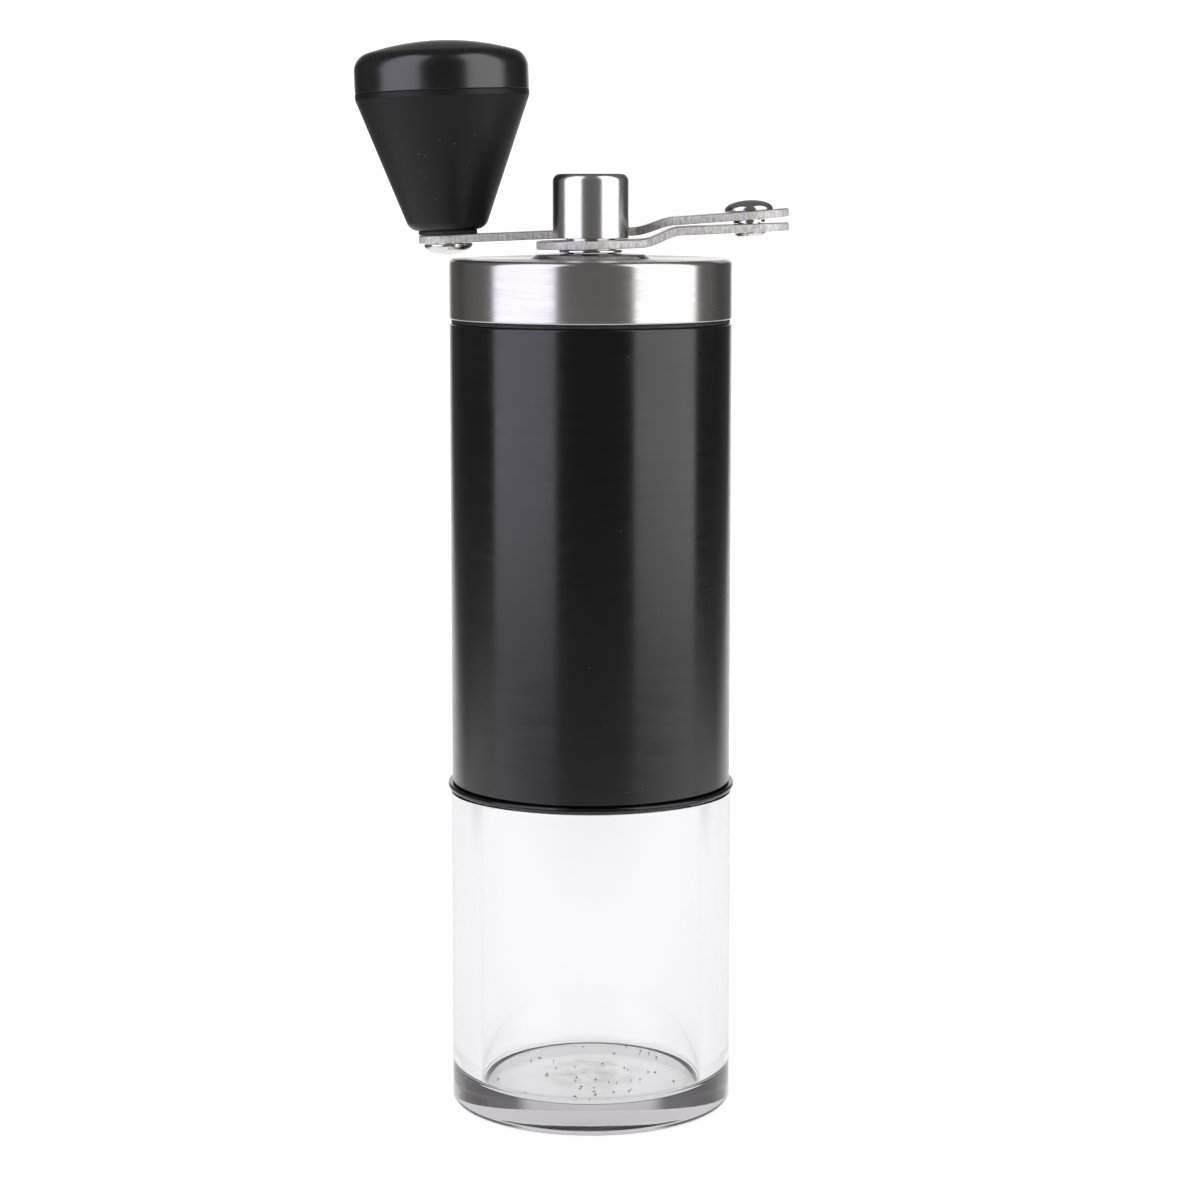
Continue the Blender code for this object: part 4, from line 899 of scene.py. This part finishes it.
@dataclass
class Crank:
    """Both arms, the drive socket on the hub, and the elbow between the arms."""

    plate: float = 1.5 * MM
    hub: float = 9.6 * MM
    hub_under: float = 154.4 * MM
    neck: float = 5.6 * MM
    elbow_end: float = 7.0 * MM
    knob_end: float = 5.3 * MM
    gap: float = 0.75 * MM
    hub_slope: float = math.radians(1.1)
    lower_slope: float = math.radians(2.2)
    upper_slope: float = math.radians(4.3)
    low_slope: float = math.radians(2.3)
    lower_ramp: tuple[float, float] = (9.0 * MM, 15.8 * MM)
    upper_ramp: tuple[float, float] = (7.6 * MM, 14.6 * MM)
    low_mark: tuple[float, float] = (8.6 * MM, 156.53 * MM)
    veer: tuple[float, float] = (19.5 * MM, 9.0 * MM)
    socket_edge: float = 1.25 * MM
    seat: float = 156.2 * MM
    blind: float = 164.4 * MM
    spigot: float = 4.4 * MM
    hexagon: float = 3.25 * MM
    rivet: float = 2.1 * MM

    def __post_init__(self) -> None:
        """Read the elbow's and the knob's places from the frame."""
        self.elbow = Stand.on_joint("arm_fold")
        self.knob = Stand.on_joint("knob_spin")

    def lower_height(self, x: Array) -> Array:
        """Middle of the lower plate: the hub's line, a smooth ramp, then the elbow's line."""
        near = self.hub_under + self.plate / 2 + x * math.tan(self.hub_slope)
        far = self.elbow.at[2] + self.plate / 2 + (x - self.elbow.at[0]) * math.tan(self.lower_slope)
        low, high = self.lower_ramp
        share = smooth_step((x - low) / (high - low))
        return near * (1 - share) + far * share

    def upper_height(self, x: Array) -> Array:
        """Middle of the upper plate: the knob's line, a smooth ramp, then the elbow's line."""
        mark_x, mark_z = self.low_mark
        near = mark_z + self.plate / 2 + (x - mark_x) * math.tan(self.low_slope)
        lift = self.elbow.at[2] + 1.5 * self.plate + self.gap
        far = lift + (x - self.elbow.at[0]) * math.tan(self.upper_slope)
        low, high = self.upper_ramp
        share = smooth_step((x - low) / (high - low))
        return near * (1 - share) + far * share

    def build_lower_arm(self) -> None:
        """Hub disc, ramp and strap to the elbow; the width eases from disc to strap."""
        share = np.linspace(0.0, 1.0, 121)[:, None]
        path = share * np.array([self.elbow.at[:2]])
        run = np.linalg.norm(path, axis=1)
        disc = np.sqrt(np.maximum(self.hub ** 2 - run ** 2, 0.0))
        strap = self.neck + (self.elbow_end - self.neck) * smooth_step(run / run[-1])
        widths = (disc ** 7 + strap ** 7) ** (1 / 7)
        widths[0] = self.hub
        plate = Strap(path, widths, (self.spigot + 0.05 * MM, self.rivet), self.lower_height)
        points, quads, edge = plate.surface()
        Piece("arm_lower", "crank", "arm_steel", ("lower_arm",)).build(
            (points, quads), ARM_STEEL.material(), fields={"edge": edge})

    def build_upper_arm(self) -> None:
        """Strap from the elbow that dips and veers behind the socket on its way to the knob."""
        start, end = np.array(self.elbow.at[:2]), np.array(self.knob.at[:2])
        x = np.linspace(start[0], end[0], 161)
        veer = smooth_step((self.veer[0] - x) / (self.veer[0] - self.veer[1]))
        path = np.column_stack([x, start[1] + (end[1] - start[1]) * veer])
        run = np.concatenate([[0.0], np.cumsum(np.linalg.norm(np.diff(path, axis=0), axis=1))])
        widths = self.elbow_end + (self.knob_end - self.elbow_end) * smooth_step(run / (0.6 * run[-1]))
        plate = Strap(path, widths, (self.rivet, 2.6 * MM), self.upper_height)
        points, quads, edge = plate.surface()
        Piece("arm_upper", "arm", "arm_steel", ("upper_arm",)).build(
            (points, quads), ARM_STEEL.material(), fields={"edge": edge})

    def build_socket(self) -> None:
        """Polished post with a hexagonal socket up its middle.

        The socket's wall is a hexagon: its radius is the flat's distance over the cosine of the
        angle from the nearest flat's middle.
        """
        low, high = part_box("drive_socket")
        outside = rounded([(0.0, high.z, 0.0), (high.x, high.z, self.socket_edge),
                           (high.x, self.seat, 0.12 * MM), (self.spigot, self.seat, 0.0),
                           (self.spigot, low.z, 0.15 * MM), (self.hexagon * 1.12, low.z, 0.0)], 8)
        inside = np.array([(self.hexagon, low.z + 0.35 * MM), (self.hexagon, self.blind),
                           (0.0, self.blind + 0.8 * MM)])
        sides = 144
        angle = np.arange(sides) * math.tau / sides
        flat = 1.0 / np.cos((angle % (math.pi / 3)) - math.pi / 6)
        shape = np.ones((len(outside) + len(inside), sides))
        shape[-len(inside):-1] = flat
        Piece("socket_post", "crank", "polished_steel", ("drive_socket",)).build(
            turned(np.vstack([outside, inside]), sides, shape), POST_STEEL.material())

    def build_washer(self) -> None:
        """Bright washer between the lid's boss and the hub."""
        low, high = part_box("hub_washer")
        bore, rim = 4.65 * MM, high.x
        ring = loop([(rim, (low.z + high.z) / 2, 0.0), (rim, low.z, 0.12 * MM), (bore, low.z, 0.05 * MM),
                     (bore, high.z, 0.05 * MM), (rim, high.z, 0.12 * MM)], 4, 0.02 * MM)
        Piece("washer_hub", "crank", "polished_steel", ("hub_washer",)).turn(ring, 96, POLISHED_STEEL)

    def build_elbow(self) -> None:
        """Domed rivet through both arms and the washer between them."""
        slit, brim, foot = 0.15 * MM, 0.25 * MM, 0.6 * MM
        base = 2 * self.plate + self.gap + 0.03 * MM
        head, rise, shank, tail = 4.35 * MM, 1.9 * MM, 2.0 * MM, 2.9 * MM
        sweep = np.linspace(0.0, math.pi / 2, 15)
        dome = np.column_stack([head * np.sin(sweep), base + brim + (rise - brim) * np.cos(sweep)])
        below = rounded([(head, base + 0.2 * MM, 0.0), (head, base, 0.15 * MM), (shank, base, 0.0),
                         (shank, -slit, 0.0), (tail, -slit, 0.1 * MM), (tail * 0.85, -slit - foot, brim),
                         (0.0, -slit - foot, 0.0)], 5, 0.05 * MM)
        Piece("rivet_elbow", "crank", "polished_steel", ("elbow_rivet",)).turn(
            np.vstack([dome, below]), 96, POLISHED_STEEL, self.elbow)
        low, high = self.plate + slit, self.plate + self.gap - slit
        bore, rim = 2.15 * MM, 2.85 * MM
        Piece("washer_elbow", "crank", "polished_steel", ("elbow_washer",)).turn(
            np.array([(bore, low), (rim, low), (rim, high), (bore, high)]), 64, POLISHED_STEEL, self.elbow)


@dataclass
class Knob:
    """Soft-touch cone, glossy domed cap, base washer and the pin's domed head."""

    foot: float = 0.75 * MM
    foot_radius: float = 7.7 * MM
    foot_round: float = 2.4 * MM
    top_radius: float = 15.65 * MM
    parting: float = 25.4 * MM
    height: float = 34.5 * MM
    crown: float = 46.0 * MM
    shoulder: float = 3.3 * MM
    wall: float = 1.8 * MM
    bore: float = 2.8 * MM
    plate: float = 1.5 * MM
    seam: float = 0.03 * MM

    def __post_init__(self) -> None:
        """Read the knob's place from the frame."""
        self.stand = Stand.on_joint("knob_spin")

    def build_grip(self) -> None:
        """The hollow cone, from its rim down the outside and back up the bore."""
        rim, top = self.top_radius, self.parting - self.seam
        slope = (rim - self.foot_radius) / (self.parting - 3.4 * MM)
        floor, boss, boss_top = 9.0 * MM, 5.2 * MM, 20.0 * MM
        inside = rim - self.wall
        grip = loop([(rim, self.parting - 0.5 * MM, 0.0), (rim, self.parting - 1.0 * MM, 0.5 * MM),
                     (self.foot_radius - 0.9 * MM, self.foot, self.foot_round),
                     (self.bore, self.foot, 0.2 * MM), (self.bore, boss_top, 0.1 * MM),
                     (boss, boss_top, 0.3 * MM), (boss, floor, 0.5 * MM),
                     (inside - slope * (self.parting - floor), floor, 0.5 * MM),
                     (inside, top, 0.1 * MM), (rim, top, 0.12 * MM)], 10, 0.04 * MM)
        Piece("grip", "knob", "knob_black", ("knob_grip",)).turn(grip, 160, KNOB_BLACK, self.stand)

    def build_cap(self) -> None:
        """The cap: a shallow spherical crown, a rounder shoulder, and a spigot inside the cone."""
        middle = self.top_radius - self.shoulder
        tilt = math.asin(middle / (self.crown - self.shoulder))
        low = self.height - self.crown
        shoulder_height = low + (self.crown - self.shoulder) * math.cos(tilt)
        edge = 90.0 - math.degrees(tilt)
        dome = arc((0.0, low), self.crown, 90.0, edge, 24)
        dome[0] = (0.0, self.height)
        round_part = arc((middle, shoulder_height), self.shoulder, edge, 0.0, 18)
        spigot = self.top_radius - self.wall - 0.4 * MM
        foot, inside, ceiling = self.parting - 2.0 * MM, spigot - 2.4 * MM, self.height - 5.0 * MM
        skirt = rounded([(self.top_radius, shoulder_height - 0.1 * MM, 0.0),
                         (self.top_radius, self.parting + self.seam, 0.12 * MM),
                         (spigot, self.parting + self.seam, 0.1 * MM), (spigot - 0.6 * MM, foot, 0.3 * MM),
                         (inside, foot, 0.3 * MM), (inside, ceiling, 0.8 * MM),
                         (0.0, ceiling + 1.0 * MM, 0.0)], 6)
        Piece("cap_knob", "knob", "gloss_black", ("knob_cap",)).turn(
            np.vstack([dome, round_part[1:], skirt]), 160, CAP_BLACK, self.stand)

    def build_pin(self) -> None:
        """Washer under the cone, and the pin with its domed head under the arm."""
        edge, slit = 5.3 * MM, 0.04 * MM
        washer = loop([(edge, self.foot / 2, 0.0), (edge, slit, 0.1 * MM), (self.bore, slit, 0.0),
                       (self.bore, self.foot - slit, 0.0), (edge, self.foot - slit, 0.1 * MM)],
                      4, 0.02 * MM)
        Piece("washer_knob", "knob", "soft_black", ("knob_washer",)).turn(washer, 96, SOFT_BLACK, self.stand)
        head, depth, top, pin = 4.4 * MM, 1.8 * MM, -self.plate - 0.15 * MM, 2.5 * MM
        sweep = np.linspace(0.0, math.pi / 2, 17)
        dome = np.column_stack([head * np.cos(sweep), top - 0.3 * MM - depth * np.sin(sweep)])
        dome[-1, 0] = 0.0
        thread, pin_top = 1.35 * MM, 20.3 * MM
        blind = pin_top - 8.0 * MM
        stem = rounded([(0.0, blind, 0.0), (thread, blind, 0.0), (thread, pin_top, 0.1 * MM),
                        (pin, pin_top, 0.3 * MM), (pin, top, 0.0), (head, top, 0.12 * MM),
                        (head, top - 0.28 * MM, 0.0)], 5, 0.04 * MM)
        Piece("pin_knob", "arm", "polished_steel", ("knob_pin",)).turn(
            np.vstack([stem, dome]), 96, POLISHED_STEEL, self.stand)


# --------------------------------------------------------------- inside

class Dress(Enum):
    """The finish of each CAD piece that is kept as it is."""

    SEALS = (SILICONE, ("jar_seal", "lid_seal"))
    MOULDINGS = (SOFT_BLACK, ("burr_housing", "burr_retainer", "burr_carrier", "adjusting_nut", "lid_insert"))
    BEARINGS = (TURNED_BRASS, ("lower_bush", "upper_bush"))
    STEEL = (POLISHED_STEEL, ("upper_bracket", "retainer_screw_1", "retainer_screw_2", "retainer_screw_3",
                              "shaft", "shaft_collar", "burr_spring", "spring_washer", "click_ring",
                              "knob_screw"))
    BURRS = (BURR_CERAMIC, ("outer_burr", "inner_burr"))
    SLIDERS = (WHITE_NYLON, ("thrust_washer",))


@dataclass
class Inside:
    """The working parts inside, kept from the frame and dressed."""

    def dress(self) -> None:
        """Give every kept CAD piece its finish."""
        for group in Dress:
            finish, names = group.value
            material = finish.material()
            for name in names:
                node = frame["nodes"][name]
                node.data.materials.clear()
                node.data.materials.append(material)
                log.info("%s is dressed in %s", name, finish.name)


# --------------------------------------------------------------- studio

@dataclass(frozen=True)
class Softbox:
    """A soft rectangular light, by the compass span that it fills as seen from the object."""

    name: str
    span: tuple[float, float]
    distance: float
    bottom: float
    top: float
    radiance: float
    colour: tuple[float, float, float] = (1.0, 1.0, 1.0)

    def build(self) -> None:
        """Hang the light; its span is in degrees from the camera's side, positive to the right."""
        heading = math.radians(sum(self.span) / 2)
        half = math.radians(abs(self.span[1] - self.span[0]) / 2)
        width, height = 2 * self.distance * math.tan(half), self.top - self.bottom
        light = bpy.data.lights.new(self.name, "AREA")
        light.shape = "RECTANGLE"
        light.size, light.size_y = width, height
        light.energy = self.radiance * math.pi * width * height
        light.color = self.colour
        lamp = bpy.data.objects.new(self.name, light)
        lamp.location = (self.distance * math.sin(heading), -self.distance * math.cos(heading),
                         (self.top + self.bottom) / 2)
        lamp.rotation_euler = (math.radians(90), 0.0, heading)
        lamp.visible_camera = False
        bpy.context.scene.collection.objects.link(lamp)


@dataclass
class Studio:
    """Pale floor that curves up behind, two soft boxes, grey surroundings and the camera.

    The paper glows with painted light, made by its emission, in a lane that widens away from the
    camera and in a pool round the object, up to the ceiling height. The rest of it stays grey, so
    that dark pieces keep their edges. Under the object the painted glow is dimmed by a painted contact
    shadow.
    """

    back: float = 1.5
    front: float = -2.0
    half_width: float = 2.2
    cove: float = 0.5
    wall: float = 1.6
    # The lane, pool, strength and ceiling height below shape the paper's painted light, its emission.
    lane: tuple[float, float] = (0.12, 0.215)
    lane_front: float = -0.065
    fade: float = 0.2
    pool_squeeze: float = 0.45
    surround: tuple[float, float, float] = (0.141, 0.137, 0.133)
    white: tuple[float, float] = (0.92, 1.04)
    near: tuple[float, float] = (0.13, 0.15)
    ceiling: tuple[float, float] = (0.42, 0.2)
    # Painted contact shadow under the jar: inner radius, outer radius, and the share of the glow left inside.
    painted_contact_shadow: tuple[float, float, float] = (23.0 * MM, 27.0 * MM, 0.8)

    def sweep(self) -> None:
        """Floor, cove and wall as one sheet: a line in Y and Z carried across in X."""
        flat = np.linspace(self.front, self.back - self.cove, 120)
        angle = np.linspace(0.0, math.pi / 2, 24)[1:]
        rise = np.linspace(self.cove, self.wall, 40)[1:]
        y = np.concatenate([flat, self.back - self.cove + self.cove * np.sin(angle),
                            np.full(len(rise), self.back)])
        z = np.concatenate([np.zeros(len(flat)), self.cove * (1 - np.cos(angle)), rise]) - 0.02 * MM
        x = np.linspace(-self.half_width, self.half_width, 150)
        across, along = np.meshgrid(x, y)
        points = np.stack([across, along, np.broadcast_to(z[:, None], across.shape)], axis=-1).reshape(-1, 3)
        rows, columns = across.shape
        i, j = [a.ravel() for a in np.meshgrid(np.arange(rows - 1), np.arange(columns - 1), indexing="ij")]
        corner = i * columns + j
        quads = np.column_stack([corner, corner + 1, corner + columns + 1, corner + columns])
        mesh = bpy.data.meshes.new("studio_floor")
        mesh.from_pydata(points, [], quads.tolist())
        mesh.polygons.foreach_set("use_smooth", np.ones(len(mesh.polygons), bool))
        x, y, z = points.T
        # Painted light: the paper's emission, bright in a lane behind the object and in a pool round it,
        # fading above the ceiling height.
        aside = np.maximum(np.abs(x) - self.lane[0] - self.lane[1] * np.maximum(y, 0.0), 0.0)
        ahead = np.maximum(self.lane_front - y, 0.0)
        lane = 1.0 - smooth_step(np.hypot(aside, ahead) / self.fade)
        around = np.hypot(self.pool_squeeze * x, y)
        pool = 1.0 - smooth_step((around - self.near[0]) / self.near[1])
        low = 1.0 - smooth_step((z - self.ceiling[0]) / self.ceiling[1])
        painted_glow = np.maximum(lane, pool) * low
        attribute = mesh.attributes.new("painted_glow", "FLOAT", "POINT")
        attribute.data.foreach_set("value", painted_glow.astype(np.float32))
        mesh.materials.append(self.pale())
        floor = bpy.data.objects.new("studio_floor", mesh)
        bpy.context.scene.collection.objects.link(floor)

    def pale(self) -> bpy.types.Material:
        """Matt pale paper that glows with painted light where its painted glow numbers say, a little more
        further up, with a painted contact shadow under the object.
        """
        sheet = Sheet("pale_paper")
        painted_glow = sheet.add("ShaderNodeAttribute", attribute_name="painted_glow").outputs["Fac"]
        at = sheet.place()
        parts = sheet.add("ShaderNodeSeparateXYZ", {0: at}).outputs
        away = sheet.math("ADD", parts[1], parts[2])
        # Painted light: the emission grows a little stronger further back and higher up.
        strength = sheet.ramp(away, 0.0, 1.2, self.white[0], self.white[1])
        radius = sheet.add("ShaderNodeVectorMath", {0: at}, operation="LENGTH").outputs["Value"]
        # Painted contact shadow: the paper's emission is dimmed under the jar's foot.
        inner, outer, share = self.painted_contact_shadow
        under = sheet.ramp(radius, inner, outer, share, 1.0)
        lit = sheet.math("MULTIPLY", sheet.math("MULTIPLY", strength, under), painted_glow)
        sheet.shade(Base_Color=sheet.tint(painted_glow, (0.4, 0.39, 0.38), (0.32, 0.32, 0.32)), Roughness=0.9,
                    Specular_IOR_Level=0.1, Emission_Color=(1.0, 1.0, 1.0, 1.0), Emission_Strength=lit)
        return sheet.material

    def lights(self) -> None:
        """The two soft boxes and the grey surroundings."""
        Softbox("softbox_right", (35.0, 92.5), 0.62, 0.0, 1.7, 1.9, (1.0, 0.985, 1.01)).build()
        Softbox("softbox_left", (-27.5, -83.0), 0.62, 0.0, 1.7, 1.75, (0.95, 0.93, 1.08)).build()
        world = bpy.data.worlds.new("surroundings")
        bpy.context.scene.world = world
        world.use_nodes = True
        background = world.node_tree.nodes["Background"]
        background.inputs["Color"].default_value = (*self.surround, 1.0)
        background.inputs["Strength"].default_value = 1.0

    def camera(self) -> None:
        """A long lens in front, a little above the object and looking slightly down."""
        lens = bpy.data.cameras.new("camera")
        lens.lens, lens.sensor_width = 88.94, 36.0
        lens.clip_start, lens.clip_end = 0.01, 20.0
        camera = bpy.data.objects.new("camera", lens)
        camera.location = (1.95 * MM, -527.14 * MM, 167.39 * MM)
        camera.rotation_euler = (math.radians(81.826), 0.0, math.radians(0.032))
        bpy.context.scene.collection.objects.link(camera)
        bpy.context.scene.camera = camera

    def build(self) -> None:
        """Make the whole studio."""
        self.sweep()
        self.lights()
        self.camera()
        bpy.context.scene.view_settings.view_transform = "Standard"


def main() -> None:
    """Build the studio, then every sub-assembly from the table up."""
    logging.basicConfig(level=logging.INFO, format="%(name)s: %(message)s")
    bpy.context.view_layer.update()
    Studio().build()
    Jar().build()
    Body().build()
    Lid().build()
    crank = Crank()
    crank.build_lower_arm()
    crank.build_upper_arm()
    crank.build_socket()
    crank.build_washer()
    crank.build_elbow()
    knob = Knob()
    knob.build_grip()
    knob.build_cap()
    knob.build_pin()
    Inside().dress()


if __name__ == "__main__":
    main()
